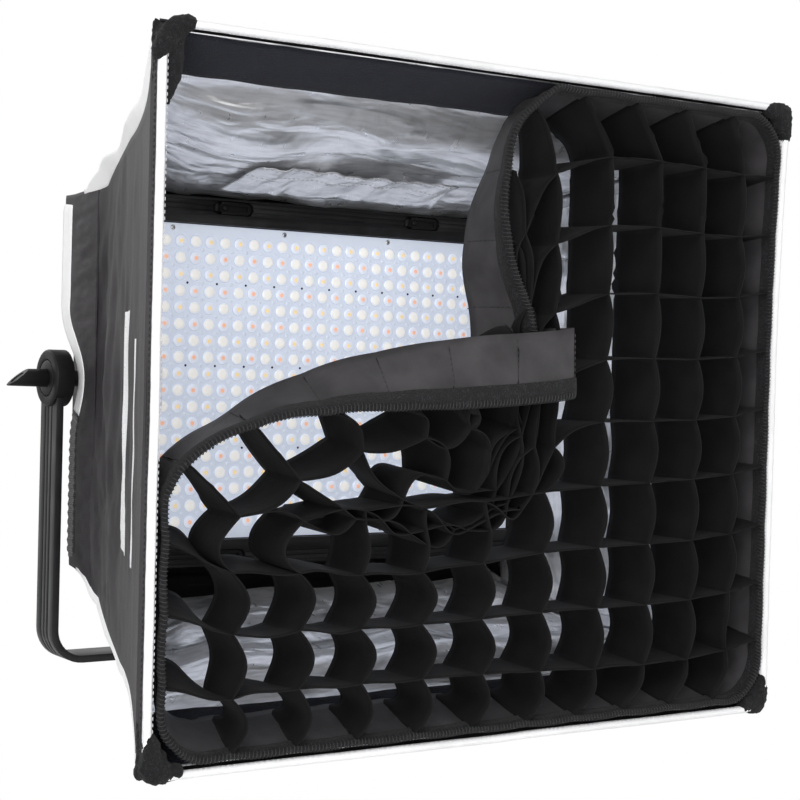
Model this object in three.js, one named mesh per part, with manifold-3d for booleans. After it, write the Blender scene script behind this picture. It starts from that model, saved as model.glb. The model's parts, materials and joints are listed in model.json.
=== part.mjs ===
// Rectangular softbox with a fabric grid, fitted to a flat LED panel light in a tilting yoke.
// Millimetres. +X is to the viewer's right, +Y points away from the viewer and +Z points up.
// The origin is the middle of the end face of the receiver's socket, where a stand's spigot seats.
import * as THREE from 'three';
import { mergeVertices } from 'three/addons/utils/BufferGeometryUtils.js';
import Module from 'manifold-3d';

const wasm = await Module();
wasm.setup();

// Driving dimensions.
const GAP = 0.3;
const ROUND_STEPS = 20;
const HUB_STEPS = 32;

// Heights are from the receiver's underside; add() moves each piece down to put the origin in the socket.
const RECEIVER = { half: 18, height: 58, bore: 8.1, boreDepth: 46, seatWall: 2.5, screwHeight: 26, screw: 4 };
const YOKE = { half: 200, drop: 210, thick: 5.4, width: 30, corner: 25, grooveDepth: 0.8 };
const HUB = { radius: 21, cap: 2.8, length: 14.4 };
const STUD_RADIUS = 4;
const PIVOT_Z = RECEIVER.height + YOKE.drop;

const PANEL = { halfWidth: 175.5, halfHeight: 134.5, front: -78, split: -50, shoulder: 14, rear: 48 };
const RAIL = { height: 19.3, sideWidth: 6.3 };
const PLATE = { halfWidth: 168.5, halfHeight: 114.5, front: -73.5, thick: 1.5 };
const WALL = 3;
const BACK = { halfWidth: 150, halfHeight: 110 };
const LATCH = { length: 31, height: 9, depth: 6, centres: [-92, 75], neck: 2.8, neckLength: 3.6 };
const CONSOLE = { halfWidth: 78, halfHeight: 33, thick: 3, middle: -20 };

const MOUTH = { halfWidth: 252, halfHeight: 219, y: -294, shift: -4.8, droop: 8.6 };
const SLEEVE_RADIUS = 4.5;
const FRAME_ROD_RADIUS = 2.5;
const FABRIC = { thick: 1.2, sag: 5, front: -284, rear: -48.5 };
const COLLAR = { halfWidth: 178, halfHeight: 137, front: -48, rear: 27, lowRear: 9, lowTop: -22 };
const NOTCH = { depth: 34.5, half: 45, bossRadius: 6 };
const BINDING = { width: 11, thick: 1.4, rearWidth: 17, notchWidth: 8 };
const CAP = { arm: 27, narrow: 13, proud: 6, depth: 14 };

const GRID = { halfWidth: 229.5, halfHeight: 192, depth: 45, front: 2, wall: 1.4, columns: 11, rows: 10 };

const COLOUR = {
  blackMetal: { color: 0x232325, roughness: 0.45, metalness: 0.5 },
  blackPlastic: { color: 0x1c1c1e, roughness: 0.5, metalness: 0 },
  steel: { color: 0xa9abae, roughness: 0.35, metalness: 1 },
  aluminium: { color: 0x8e9194, roughness: 0.4, metalness: 0.9 },
  board: { color: 0xe8e9ee, roughness: 0.6, metalness: 0 },
  lens: { color: 0xc9d0df, roughness: 0.15, metalness: 0 },
  circuit: { color: 0x1f4a36, roughness: 0.6, metalness: 0 },
  glass: { color: 0x10131a, roughness: 0.08, metalness: 0 },
  nylon: { color: 0x353337, roughness: 0.85, metalness: 0 },
  white: { color: 0xf2f2f4, roughness: 0.8, metalness: 0 },
  silver: { color: 0xb9bdc2, roughness: 0.3, metalness: 0.85 },
  velcro: { color: 0x0d0e14, roughness: 1, metalness: 0 },
  gridCloth: { color: 0x131315, roughness: 0.8, metalness: 0 },
};

const lerp = THREE.MathUtils.lerp;

// ---- Solids ---------------------------------------------------------------------------------

// A closed three.js geometry as a solid that can be joined and cut.
function solid(geometry) {
  const bare = geometry.clone();
  bare.deleteAttribute('normal');
  bare.deleteAttribute('uv');
  const merged = mergeVertices(bare, 1e-4);
  const triangles = [];
  for (let i = 0; i < merged.index.count; i += 3) {
    const [a, b, c] = [0, 1, 2].map((k) => merged.index.getX(i + k));
    if (a !== b && b !== c && a !== c) triangles.push(a, b, c);
  }
  return new wasm.Manifold(new wasm.Mesh({
    numProp: 3,
    vertProperties: new Float32Array(merged.attributes.position.array),
    triVerts: new Uint32Array(triangles),
  }));
}

function geometryOf(manifold) {
  const mesh = manifold.getMesh();
  const geometry = new THREE.BufferGeometry();
  geometry.setAttribute('position', new THREE.BufferAttribute(mesh.vertProperties, 3));
  geometry.setIndex(new THREE.BufferAttribute(mesh.triVerts, 1));
  return geometry;
}

// A solid from corner points and the polygons that close it, turned inside out if it has to be.
function faceted(points, polygons) {
  const triangles = polygons.flatMap((p) => p.slice(2).flatMap((last, i) => [p[0], p[i + 1], last]));
  let volume = 0;
  for (let i = 0; i < triangles.length; i += 3) {
    const [a, b, c] = [0, 1, 2].map((k) => points[triangles[i + k]]);
    volume += a.dot(b.clone().cross(c));
  }
  if (volume < 0) triangles.reverse();
  const geometry = new THREE.BufferGeometry();
  geometry.setFromPoints(points);
  geometry.setIndex(triangles);
  return solid(geometry);
}

function box(x0, x1, y0, y1, z0, z1) {
  const geometry = new THREE.BoxGeometry(x1 - x0, y1 - y0, z1 - z0);
  geometry.translate((x0 + x1) / 2, (y0 + y1) / 2, (z0 + z1) / 2);
  return solid(geometry);
}

// Extrusions of a flat shape: along X the shape is drawn in (y, z), along Y in (x, z), along Z in (x, y).
const EXTRUDE_BASIS = {
  x: [new THREE.Vector3(0, 1, 0), new THREE.Vector3(0, 0, 1), new THREE.Vector3(1, 0, 0)],
  y: [new THREE.Vector3(1, 0, 0), new THREE.Vector3(0, 0, 1), new THREE.Vector3(0, -1, 0)],
  z: [new THREE.Vector3(1, 0, 0), new THREE.Vector3(0, 1, 0), new THREE.Vector3(0, 0, 1)],
};

function prism(axis, shape, low, high) {
  const geometry = new THREE.ExtrudeGeometry(shape, {
    depth: high - low,
    bevelEnabled: false,
    curveSegments: ROUND_STEPS / 4,
  });
  geometry.applyMatrix4(new THREE.Matrix4().makeBasis(...EXTRUDE_BASIS[axis]));
  const start = axis === 'y' ? high : low;
  const shift = { x: [start, 0, 0], y: [0, start, 0], z: [0, 0, start] };
  geometry.translate(...shift[axis]);
  return solid(geometry);
}

// A round bar along an axis from low to high, with its centre at (a, b) in the other two axes.
function bar(axis, radius, low, high, a, b, endRadius = radius, steps = ROUND_STEPS) {
  const geometry = new THREE.CylinderGeometry(endRadius, radius, high - low, steps);
  const middle = (low + high) / 2;
  if (axis === 'x') geometry.rotateZ(-Math.PI / 2).translate(middle, a, b);
  if (axis === 'y') geometry.translate(a, middle, b);
  if (axis === 'z') geometry.rotateX(Math.PI / 2).translate(a, b, middle);
  return solid(geometry);
}

function rectangle(halfA, halfB, radius = 0, a = 0, b = 0) {
  const shape = new THREE.Shape();
  if (radius === 0) {
    shape.moveTo(a - halfA, b - halfB).lineTo(a + halfA, b - halfB);
    shape.lineTo(a + halfA, b + halfB).lineTo(a - halfA, b + halfB);
    return shape;
  }
  const [ia, ib] = [halfA - radius, halfB - radius];
  shape.absarc(a + ia, b - ib, radius, -Math.PI / 2, 0);
  shape.absarc(a + ia, b + ib, radius, 0, Math.PI / 2);
  shape.absarc(a - ia, b + ib, radius, Math.PI / 2, Math.PI);
  shape.absarc(a - ia, b - ib, radius, Math.PI, Math.PI * 1.5);
  return shape;
}

function outline(points) {
  return new THREE.Shape(points.map(([a, b]) => new THREE.Vector2(a, b)));
}

// A closed solid between matching loops of points, one loop at each station.
function loft(loops) {
  const count = loops[0].length;
  const polygons = [];
  for (let s = 0; s + 1 < loops.length; s += 1) {
    for (let i = 0; i < count; i += 1) {
      const j = (i + 1) % count;
      polygons.push([s * count + i, s * count + j, (s + 1) * count + j, (s + 1) * count + i]);
    }
  }
  const last = (loops.length - 1) * count;
  polygons.push(Array.from({ length: count }, (_, i) => count - 1 - i));
  polygons.push(Array.from({ length: count }, (_, i) => last + i));
  return faceted(loops.flat(), polygons);
}

// A thin closed sheet from rows of points, thickened by one offset.
function sheet(rows, offset) {
  const [m, n] = [rows.length, rows[0].length];
  const front = rows.flat();
  const back = front.map((p) => p.clone().add(offset));
  const at = (i, j) => i * n + j;
  const polygons = [];
  for (let i = 0; i + 1 < m; i += 1) {
    for (let j = 0; j + 1 < n; j += 1) {
      const quad = [at(i, j), at(i, j + 1), at(i + 1, j + 1), at(i + 1, j)];
      polygons.push(quad);
      polygons.push(quad.map((k) => k + m * n).reverse());
    }
  }
  const edge = [];
  for (let j = 0; j < n; j += 1) edge.push(at(0, j));
  for (let i = 1; i < m; i += 1) edge.push(at(i, n - 1));
  for (let j = n - 2; j >= 0; j -= 1) edge.push(at(m - 1, j));
  for (let i = m - 2; i > 0; i -= 1) edge.push(at(i, 0));
  edge.forEach((a, k) => {
    const b = edge[(k + 1) % edge.length];
    polygons.push([b, a, a + m * n, b + m * n]);
  });
  return faceted([...front, ...back], polygons);
}

const group = new THREE.Group();

function add(name, finish, manifold) {
  const placed = manifold.translate([0, 0, -RECEIVER.boreDepth]);
  const mesh = new THREE.Mesh(geometryOf(placed), new THREE.MeshStandardMaterial(COLOUR[finish]));
  mesh.name = name;
  group.add(mesh);
}

// ---- Yoke and stand receiver ------------------------------------------------------------------

// The bent bar seen from the front, drawn in from its outer face by an inset.
function yokeOutline(inset) {
  const [half, bottom] = [YOKE.half - inset, RECEIVER.height + inset];
  const radius = Math.max(YOKE.corner - inset, 1);
  const shape = new THREE.Shape();
  shape.moveTo(half, PIVOT_Z);
  shape.lineTo(-half, PIVOT_Z);
  shape.absarc(-half + radius, bottom + radius, radius, Math.PI, Math.PI * 1.5);
  shape.absarc(half - radius, bottom + radius, radius, -Math.PI / 2, 0);
  return shape;
}

function buildYoke() {
  const half = YOKE.width / 2;
  const grooveStep = 6;
  let bent = prism('y', yokeOutline(0), -half, half);
  bent = bent.subtract(prism('y', yokeOutline(YOKE.thick), -half - 1, half + 1));
  for (const side of [-1, 1]) {
    const faces = [side * YOKE.half, side * (YOKE.half - YOKE.thick)].sort((a, b) => a - b);
    bent = bent.add(bar('x', half, ...faces, 0, PIVOT_Z));
  }
  let skin = prism('y', yokeOutline(-1), -1, 1);
  skin = skin.subtract(prism('y', yokeOutline(YOKE.grooveDepth), -2, 2));
  for (const step of [-1, 0, 1]) {
    bent = bent.subtract(skin.translate([0, step * grooveStep, 0]));
  }
  bent = bent.subtract(bar('x', STUD_RADIUS + GAP, -YOKE.half - 2, YOKE.half + 2, 0, PIVOT_Z));
  bent = bent.subtract(bar('z', STUD_RADIUS + GAP, 50, 70, 0, 0));
  add('yoke_bar', 'blackMetal', bent);
}

// A moulded hub that caps the arm's top end and spaces it off the lamp.
function buildHub(side) {
  const outer = YOKE.half + HUB.cap;
  const inner = outer - HUB.length;
  const rim = 1.2;
  let hub = bar('x', HUB.radius, inner, outer - rim, 0, PIVOT_Z, HUB.radius, HUB_STEPS);
  hub = hub.add(bar('x', HUB.radius, outer - rim, outer, 0, PIVOT_Z, HUB.radius - rim, HUB_STEPS));
  const ring = bar('x', 14, outer - 0.5, outer + 1, 0, PIVOT_Z).subtract(
    bar('x', 13, outer - 1, outer + 2, 0, PIVOT_Z),
  );
  const half = YOKE.width / 2 + GAP;
  const [armIn, armOut] = [YOKE.half - YOKE.thick - GAP, YOKE.half + GAP];
  const armRoom = box(armIn, armOut, -half, half, PIVOT_Z - 2 * HUB.radius, PIVOT_Z).add(
    bar('x', half, armIn, armOut, 0, PIVOT_Z),
  );
  hub = hub.subtract(ring).subtract(armRoom);
  hub = hub.subtract(bar('x', STUD_RADIUS + GAP, inner - 1, outer + 1, 0, PIVOT_Z));
  return side < 0 ? hub.mirror([1, 0, 0]) : hub;
}

function buildReceiver() {
  const { half, height, bore, boreDepth, seatWall, screwHeight, screw } = RECEIVER;
  let body = prism('z', rectangle(half, half, 5), 0, height - GAP);
  body = body.subtract(bar('z', bore, -1, boreDepth, 0, 0));
  body = body.subtract(bar('z', STUD_RADIUS + GAP, boreDepth + seatWall, height, 0, 0));
  body = body.subtract(bar('y', screw + GAP, 0, half + 1, 0, screwHeight));
  add('stand_receiver', 'blackMetal', body);

  const headRadius = 7;
  const barTop = height + YOKE.thick;
  const bolt = bar('z', STUD_RADIUS, boreDepth + seatWall + GAP, barTop + GAP + 1, 0, 0);
  const boltHead = bar('z', headRadius, barTop + GAP, barTop + 6, 0, 0, headRadius, 6);
  add('receiver_bolt', 'steel', bolt.add(boltHead));

  const knobLength = 16;
  const knobInner = half + 4;
  const lobes = 3;
  let knob = bar('y', 11, knobInner, knobInner + knobLength, 0, screwHeight);
  for (let i = 0; i < lobes; i += 1) {
    const angle = (i * 2 * Math.PI) / lobes + Math.PI / 2;
    const [x, z] = [10 * Math.cos(angle), screwHeight + 10 * Math.sin(angle)];
    knob = knob.add(bar('y', 6, knobInner, knobInner + knobLength - 1, x, z, 5.4, 14));
  }
  knob = knob.add(bar('y', screw, bore + 0.6, knobInner + 1, 0, screwHeight));
  add('receiver_knob', 'blackPlastic', knob);
}

// A clamping lever: a round grip on the stud, cut off at a slant with a shallow oval recess in the cut.
function buildLever(side) {
  const start = YOKE.half + HUB.cap + GAP;
  const grip = { length: 29, root: 6.7, tip: 6.2, slantStart: 13, slantEnd: 31, reach: 7.1 };
  let lever = bar('x', grip.root, start, start + grip.length, 0, PIVOT_Z, grip.tip, 24);
  const slant = outline([
    [start + grip.slantStart, PIVOT_Z + grip.reach],
    [start + grip.slantEnd, PIVOT_Z - grip.reach],
    [start + grip.slantEnd, PIVOT_Z + grip.reach],
  ]);
  lever = lever.subtract(prism('y', slant, -grip.reach, grip.reach));
  const slantTilt = THREE.MathUtils.radToDeg(Math.atan2(2 * grip.reach, grip.slantEnd - grip.slantStart));
  const recess = bar('z', 3.8, -0.7, 2, 0, 0).scale([1.5, 1, 1]).rotate([0, slantTilt, 0]);
  lever = lever.subtract(recess.translate([start + (grip.slantStart + grip.slantEnd) / 2, 0, PIVOT_Z]));
  lever = lever.subtract(bar('x', STUD_RADIUS + GAP, start - 1, start + 8, 0, PIVOT_Z));
  return side < 0 ? lever.mirror([1, 0, 0]) : lever;
}

function buildPivots() {
  const studInner = PANEL.halfWidth - WALL - 6;
  const studOuter = YOKE.half + HUB.cap + 7;
  for (const [side, name] of [[-1, 'left'], [1, 'right']]) {
    add(`hub_${name}`, 'blackPlastic', buildHub(side));
    const span = [side * studInner, side * studOuter].sort((a, b) => a - b);
    add(`tilt_stud_${name}`, 'steel', bar('x', STUD_RADIUS, ...span, 0, PIVOT_Z));
    add(`tilt_lever_${name}`, 'blackPlastic', buildLever(side));
  }
}

// ---- Lamp head --------------------------------------------------------------------------------

function buildRails() {
  const { halfWidth, halfHeight, front, split } = PANEL;
  const top = halfHeight;
  const inner = halfHeight - RAIL.height;
  const profile = [[split, inner], [front, inner]];
  const grooves = { count: 3, pitch: 3.6, width: 1.1, depth: 1.2, first: 9 };
  for (let i = 0; i < grooves.count; i += 1) {
    const low = inner + grooves.first + i * grooves.pitch;
    profile.push([front, low], [front + grooves.depth, low]);
    profile.push([front + grooves.depth, low + grooves.width], [front, low + grooves.width]);
  }
  profile.push([front, top - 1], [front + 1, top], [split, top]);
  let rail = prism('x', outline(profile), -halfWidth, halfWidth);
  const pocketHeight = LATCH.height + 1.4;
  const latchZ = inner + 12.4;
  for (const x of LATCH.centres) {
    const pocket = rectangle(LATCH.length / 2 + 1.2, pocketHeight / 2, pocketHeight / 2 - 0.2, x, latchZ);
    rail = rail.subtract(prism('y', pocket, front - 1, front + LATCH.depth + 1));
  }
  add('rail_top', 'blackMetal', rail.translate([0, 0, PIVOT_Z]));
  add('rail_bottom', 'blackMetal', rail.mirror([0, 0, 1]).translate([0, 0, PIVOT_Z]));

  const sideHalf = inner - GAP;
  for (const [side, name] of [[-1, 'left'], [1, 'right']]) {
    const xs = [side * halfWidth, side * (halfWidth - RAIL.sideWidth)].sort((a, b) => a - b);
    add(`rail_${name}`, 'blackMetal', box(...xs, front, split, PIVOT_Z - sideHalf, PIVOT_Z + sideHalf));
  }

  for (const [up, level] of [[1, 'upper'], [-1, 'lower']]) {
    LATCH.centres.forEach((x, i) => {
      const z = PIVOT_Z + up * latchZ;
      const radius = LATCH.depth / 2 - 0.2;
      const pin = { x: x - LATCH.length / 2 + radius, y: front + radius + 0.4 };
      const tip = x + LATCH.length / 2;
      const half = LATCH.height / 2;
      const { neck, neckLength } = LATCH;
      let latch = bar('z', radius, z - neck, z + neck, pin.x, pin.y, radius, 16);
      latch = latch.add(box(pin.x, pin.x + neckLength + 1, pin.y - 1.6, pin.y + 1.6, z - neck, z + neck));
      latch = latch.add(box(pin.x + neckLength, tip, pin.y - 1.6, pin.y + 1.6, z - half, z + half));
      latch = latch.subtract(box(pin.x + 6, tip - 3, pin.y - 3, pin.y + 0.2, z - 2, z + 2));
      const roundedEnds = rectangle(LATCH.length / 2, half, half - 0.2, x, z);
      latch = latch.intersect(prism('y', roundedEnds, front - 1, front + LATCH.depth + 1));
      add(`latch_${level}_${i === 0 ? 'left' : 'right'}`, 'blackPlastic', latch);
    });
  }
}

function buildLightEngine() {
  const { halfWidth, halfHeight, front, thick } = PLATE;
  const plate = (y0, y1, inset) => box(
    inset - halfWidth, halfWidth - inset, y0, y1,
    PIVOT_Z - halfHeight + inset, PIVOT_Z + halfHeight - inset,
  );
  add('lens_plate', 'lens', plate(front, front + thick, 0));
  const boardFront = front + thick + GAP;
  add('led_board', 'board', plate(boardFront, boardFront + 1.6, 0.5));

  const sinkFront = boardFront + 1.6 + GAP;
  const fins = { pitch: 20, count: 15, depth: 26, thick: 2.4, half: 104 };
  let sink = plate(sinkFront, sinkFront + 4, 1);
  for (let i = 0; i < fins.count; i += 1) {
    const x = (i - (fins.count - 1) / 2) * fins.pitch;
    sink = sink.add(box(x - fins.thick / 2, x + fins.thick / 2, sinkFront + 3, sinkFront + fins.depth,
      PIVOT_Z - fins.half, PIVOT_Z + fins.half));
  }
  add('heat_sink', 'aluminium', sink);

  const driver = { halfWidth: 110, z: -62, halfHeight: 40, y: 2, thick: 1.6 };
  let board = box(-driver.halfWidth, driver.halfWidth, driver.y, driver.y + driver.thick,
    PIVOT_Z + driver.z - driver.halfHeight, PIVOT_Z + driver.z + driver.halfHeight);
  for (const [x, half] of [[-70, 16], [-20, 12], [45, 20]]) {
    board = board.add(box(x - half, x + half, driver.y + 1, driver.y + 16,
      PIVOT_Z + driver.z - half, PIVOT_Z + driver.z + half));
  }
  add('driver_board', 'circuit', board);
}

function buildHousing() {
  const { halfWidth, halfHeight, split, shoulder, rear } = PANEL;
  const ring = (halfX, halfZ, y) => [[-1, -1], [1, -1], [1, 1], [-1, 1]].map(
    ([sx, sz]) => new THREE.Vector3(sx * halfX, y, PIVOT_Z + sz * halfZ),
  );
  let shell = loft([
    ring(halfWidth, halfHeight, split + GAP),
    ring(halfWidth, halfHeight, shoulder),
    ring(BACK.halfWidth, BACK.halfHeight, rear),
  ]);
  shell = shell.subtract(loft([
    ring(halfWidth - WALL, halfHeight - WALL, split - 1),
    ring(halfWidth - WALL, halfHeight - WALL, shoulder - 1),
    ring(BACK.halfWidth - WALL, BACK.halfHeight - WALL, rear - WALL),
  ]));
  const bossEnd = YOKE.half + HUB.cap - HUB.length - GAP;
  for (const side of [-1, 1]) {
    const span = [side * (halfWidth - 1), side * bossEnd].sort((a, b) => a - b);
    shell = shell.add(bar('x', NOTCH.bossRadius, ...span, 0, PIVOT_Z));
  }
  shell = shell.subtract(bar('x', STUD_RADIUS + GAP, -YOKE.half, YOKE.half, 0, PIVOT_Z));

  const vents = { count: 9, pitch: 12, halfWidth: 2, low: 38, high: 92, bank: 78 };
  for (const bank of [-1, 1]) {
    for (let i = 0; i < vents.count; i += 1) {
      const x = bank * vents.bank + (i - (vents.count - 1) / 2) * vents.pitch;
      shell = shell.subtract(box(x - vents.halfWidth, x + vents.halfWidth, rear - WALL - 2, rear + 1,
        PIVOT_Z + vents.low, PIVOT_Z + vents.high));
    }
  }
  const windowHalf = [CONSOLE.halfWidth - 6, CONSOLE.halfHeight - 4];
  const middle = PIVOT_Z + CONSOLE.middle;
  shell = shell.subtract(box(-windowHalf[0], windowHalf[0], rear - WALL - 2, rear + 1,
    middle - windowHalf[1], middle + windowHalf[1]));
  const socket = { x: 0, z: PIVOT_Z - 84, radius: 9, length: 16 };
  shell = shell.subtract(bar('y', socket.radius + GAP, rear - WALL - 2, rear + 1, socket.x, socket.z));
  add('rear_housing', 'blackPlastic', shell);

  let jack = bar('y', socket.radius, rear - 12, rear + 1, socket.x, socket.z);
  jack = jack.add(bar('y', socket.radius + 3, rear + GAP, rear + 3, socket.x, socket.z));
  jack = jack.subtract(bar('y', socket.radius - 2.5, rear - 8, rear + 4, socket.x, socket.z));
  jack = jack.add(bar('y', 1.5, rear - 9, rear + 1, socket.x, socket.z, 1.5, 12));
  add('power_socket', 'blackPlastic', jack);
}

function buildConsole() {
  const face = PANEL.rear + GAP;
  const outer = face + CONSOLE.thick;
  const middle = PIVOT_Z + CONSOLE.middle;
  const display = { x: 0, halfWidth: 24, halfHeight: 15, z: middle + 4 };
  const encoders = { spacing: 48, z: middle + 6, shaft: 3, knob: 10, lift: 1.8, length: 12 };
  const buttons = { spacing: 30, z: middle - 20, radius: 4, proud: 1.8 };
  const rocker = { x: 0, z: middle - 20, halfWidth: 10, halfHeight: 6 };

  let plate = prism('y', rectangle(CONSOLE.halfWidth, CONSOLE.halfHeight, 6, 0, middle), face, outer);
  plate = plate.subtract(prism('y', rectangle(display.halfWidth, display.halfHeight, 0, display.x, display.z),
    face - 1, outer + 1));
  for (const [side, name] of [[-1, 'left'], [1, 'right']]) {
    const x = side * encoders.spacing;
    plate = plate.subtract(bar('y', encoders.shaft + GAP, face - 1, outer + 1, x, encoders.z));
    const knobStart = outer + encoders.lift;
    const knobEnd = knobStart + encoders.length;
    add(`encoder_shaft_${name}`, 'steel', bar('y', encoders.shaft, face - 14, knobEnd - 4, x, encoders.z));
    let knob = bar('y', encoders.knob, knobStart, knobEnd - 1, x, encoders.z);
    knob = knob.add(bar('y', encoders.knob, knobEnd - 1, knobEnd, x, encoders.z, encoders.knob - 1));
    knob = knob.subtract(bar('y', encoders.shaft + GAP, knobStart - 1, knobEnd - 3, x, encoders.z));
    const pointer = box(x - 0.7, x + 0.7, knobEnd - 0.8, knobEnd + 1, encoders.z + 3, encoders.z + 12);
    add(`encoder_knob_${name}`, 'blackPlastic', knob.subtract(pointer));

    const bx = side * buttons.spacing;
    plate = plate.subtract(bar('y', buttons.radius + GAP, face - 1, outer + 1, bx, buttons.z));
    add(`menu_button_${name}`, 'blackPlastic',
      bar('y', buttons.radius, face - 5, outer + buttons.proud, bx, buttons.z, buttons.radius - 0.3));
  }
  plate = plate.subtract(box(rocker.x - rocker.halfWidth - 0.5, rocker.x + rocker.halfWidth + 0.5,
    face - 1, outer + 1, rocker.z - rocker.halfHeight - 0.8, rocker.z + rocker.halfHeight + 0.8));
  add('control_panel', 'blackPlastic', plate);

  const glass = rectangle(display.halfWidth - GAP, display.halfHeight - GAP, 0, display.x, display.z);
  add('display_window', 'glass', prism('y', glass, face + 0.4, outer - 0.4));

  // The rocker turns on its own middle, so its face is a shallow V and its body narrows inward.
  const rockerShape = outline([
    [outer + 1.4, rocker.z - rocker.halfHeight],
    [outer + 0.4, rocker.z],
    [outer + 1.4, rocker.z + rocker.halfHeight],
    [outer - 3, rocker.z + rocker.halfHeight - 0.4],
    [face - 4, rocker.z + 2.4],
    [face - 4, rocker.z - 2.4],
    [outer - 3, rocker.z - rocker.halfHeight + 0.4],
  ]);
  add('power_rocker', 'blackPlastic',
    prism('x', rockerShape, rocker.x - rocker.halfWidth, rocker.x + rocker.halfWidth));
}

// ---- Softbox ----------------------------------------------------------------------------------

// The fabric frustum at a fraction t of the way from the mouth to the collar.
function fabricAt(t, inset) {
  const sag = FABRIC.sag * Math.sin(Math.PI * t);
  return {
    halfWidth: lerp(MOUTH.halfWidth - 1, COLLAR.halfWidth, t) - sag - inset,
    halfHeight: lerp(MOUTH.halfHeight - 1, COLLAR.halfHeight, t) - sag - inset,
    x: lerp(MOUTH.shift, 0, t),
    y: lerp(FABRIC.front, FABRIC.rear, t),
    z: lerp(PIVOT_Z - MOUTH.droop, PIVOT_Z, t),
  };
}

function fabricCorner(t, inset, sx, sz) {
  const f = fabricAt(t, inset);
  return new THREE.Vector3(f.x + sx * f.halfWidth, f.y, f.z + sz * f.halfHeight);
}

const CORNERS = [[-1, -1], [1, -1], [1, 1], [-1, 1]];

// A four-sided fabric tube between two insets, from one fraction to another.
function fabricTube(t0, t1, outerInset, thick, steps) {
  const loops = (inset, from, to) => Array.from({ length: steps + 1 }, (_, i) => {
    const t = lerp(from, to, i / steps);
    return CORNERS.map(([sx, sz]) => fabricCorner(t, inset, sx, sz));
  });
  const overshoot = 0.01;
  const inner = loft(loops(outerInset + thick, t0 - overshoot, t1 + overshoot));
  return loft(loops(outerInset, t0, t1)).subtract(inner);
}

function buildShell() {
  const stations = [0, 0.2, 0.4, 0.6, 0.8, 1];
  const edgeGap = 1.6;
  const sides = {
    shell_top: { ends: [[-1, 1], [1, 1]], inward: [0, 0, -1] },
    shell_bottom: { ends: [[-1, -1], [1, -1]], inward: [0, 0, 1] },
    shell_left: { ends: [[-1, -1], [-1, 1]], inward: [1, 0, 0] },
    shell_right: { ends: [[1, -1], [1, 1]], inward: [-1, 0, 0] },
  };
  for (const [name, { ends, inward }] of Object.entries(sides)) {
    const rows = stations.map((t) => {
      const [a, b] = ends.map(([sx, sz]) => fabricCorner(t, 0, sx, sz));
      const along = b.clone().sub(a).normalize().multiplyScalar(edgeGap);
      return [a.add(along), b.sub(along)];
    });
    add(name, 'nylon', sheet(rows, new THREE.Vector3(...inward).multiplyScalar(FABRIC.thick)));
  }

  const names = ['lower_left', 'lower_right', 'upper_right', 'upper_left'];
  CORNERS.forEach(([sx, sz], k) => {
    const out = new THREE.Vector3(sx, 0, sz).normalize();
    const across = new THREE.Vector3(sx, 0, -sz).normalize().multiplyScalar(BINDING.thick);
    const rows = [0.06, ...stations.slice(1, -1), 0.97].map((t) => {
      const corner = fabricCorner(t, 0, sx, sz);
      const low = corner.clone().addScaledVector(out, 0.6).addScaledVector(across, -0.5);
      return [low, low.clone().addScaledVector(out, BINDING.width * Math.sin(Math.PI * (0.2 + 0.6 * t)))];
    });
    add(`edge_binding_${names[k]}`, 'white', sheet(rows, across));
  });

  add('silver_liner', 'silver', fabricTube(0, 0.92, 2.6, 1, 5));
  add('rim_velcro', 'velcro', fabricTube(0.01, 0.21, 4.1, 1.5, 2));

  const flap = { halfWidth: 92, x: -28, thick: 1 };
  const flapRows = [[-152, 150], [-128, 146], [-104, 138.5]].map(([y, z]) => [-1, 1].map(
    (s) => new THREE.Vector3(flap.x + s * (flap.halfWidth + z - 150), y, PIVOT_Z + z),
  ));
  add('silver_flap', 'silver', sheet(flapRows, new THREE.Vector3(0, 0, flap.thick)));
}

// The sleeve over the lamp. Above the pivots its rear edge is bound in white tape, and below them
// the hem stops short. A notch on each side clears the pivot.
function buildCollar() {
  const { halfWidth, halfHeight, front, rear, lowRear, lowTop } = COLLAR;
  const tube = (extra, thick, y0, y1) => {
    const outer = prism('y', rectangle(halfWidth + extra, halfHeight + extra, 0, 0, PIVOT_Z), y0, y1);
    const [innerX, innerZ] = [halfWidth + extra - thick, halfHeight + extra - thick];
    return outer.subtract(prism('y', rectangle(innerX, innerZ, 0, 0, PIVOT_Z), y0 - 1, y1 + 1));
  };
  const notchShape = (grow) => {
    const shape = new THREE.Shape();
    return shape.absellipse(rear, PIVOT_Z, NOTCH.depth + grow, NOTCH.half + grow, 0, 2 * Math.PI);
  };
  const reach = halfWidth + 5;
  const over = halfHeight + 9;
  const notch = prism('x', notchShape(0), -reach, reach);
  const lowRoom = box(-reach, reach, lowRear, rear + 1, PIVOT_Z - over, PIVOT_Z + lowTop);
  add('collar', 'nylon', tube(0, 1.6, front, rear).subtract(notch).subtract(lowRoom));

  let band = box(-reach, reach, rear - BINDING.rearWidth, rear, PIVOT_Z + lowTop, PIVOT_Z + over);
  band = band.add(prism('x', notchShape(BINDING.notchWidth), -reach, reach));
  const upper = box(-reach, reach, front, rear, PIVOT_Z + lowTop, PIVOT_Z + over);
  const skin = tube(0.3 + 1.2, 1.2, front + 1, rear);
  add('collar_binding', 'white', skin.intersect(band).intersect(upper).subtract(notch));
}

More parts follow.
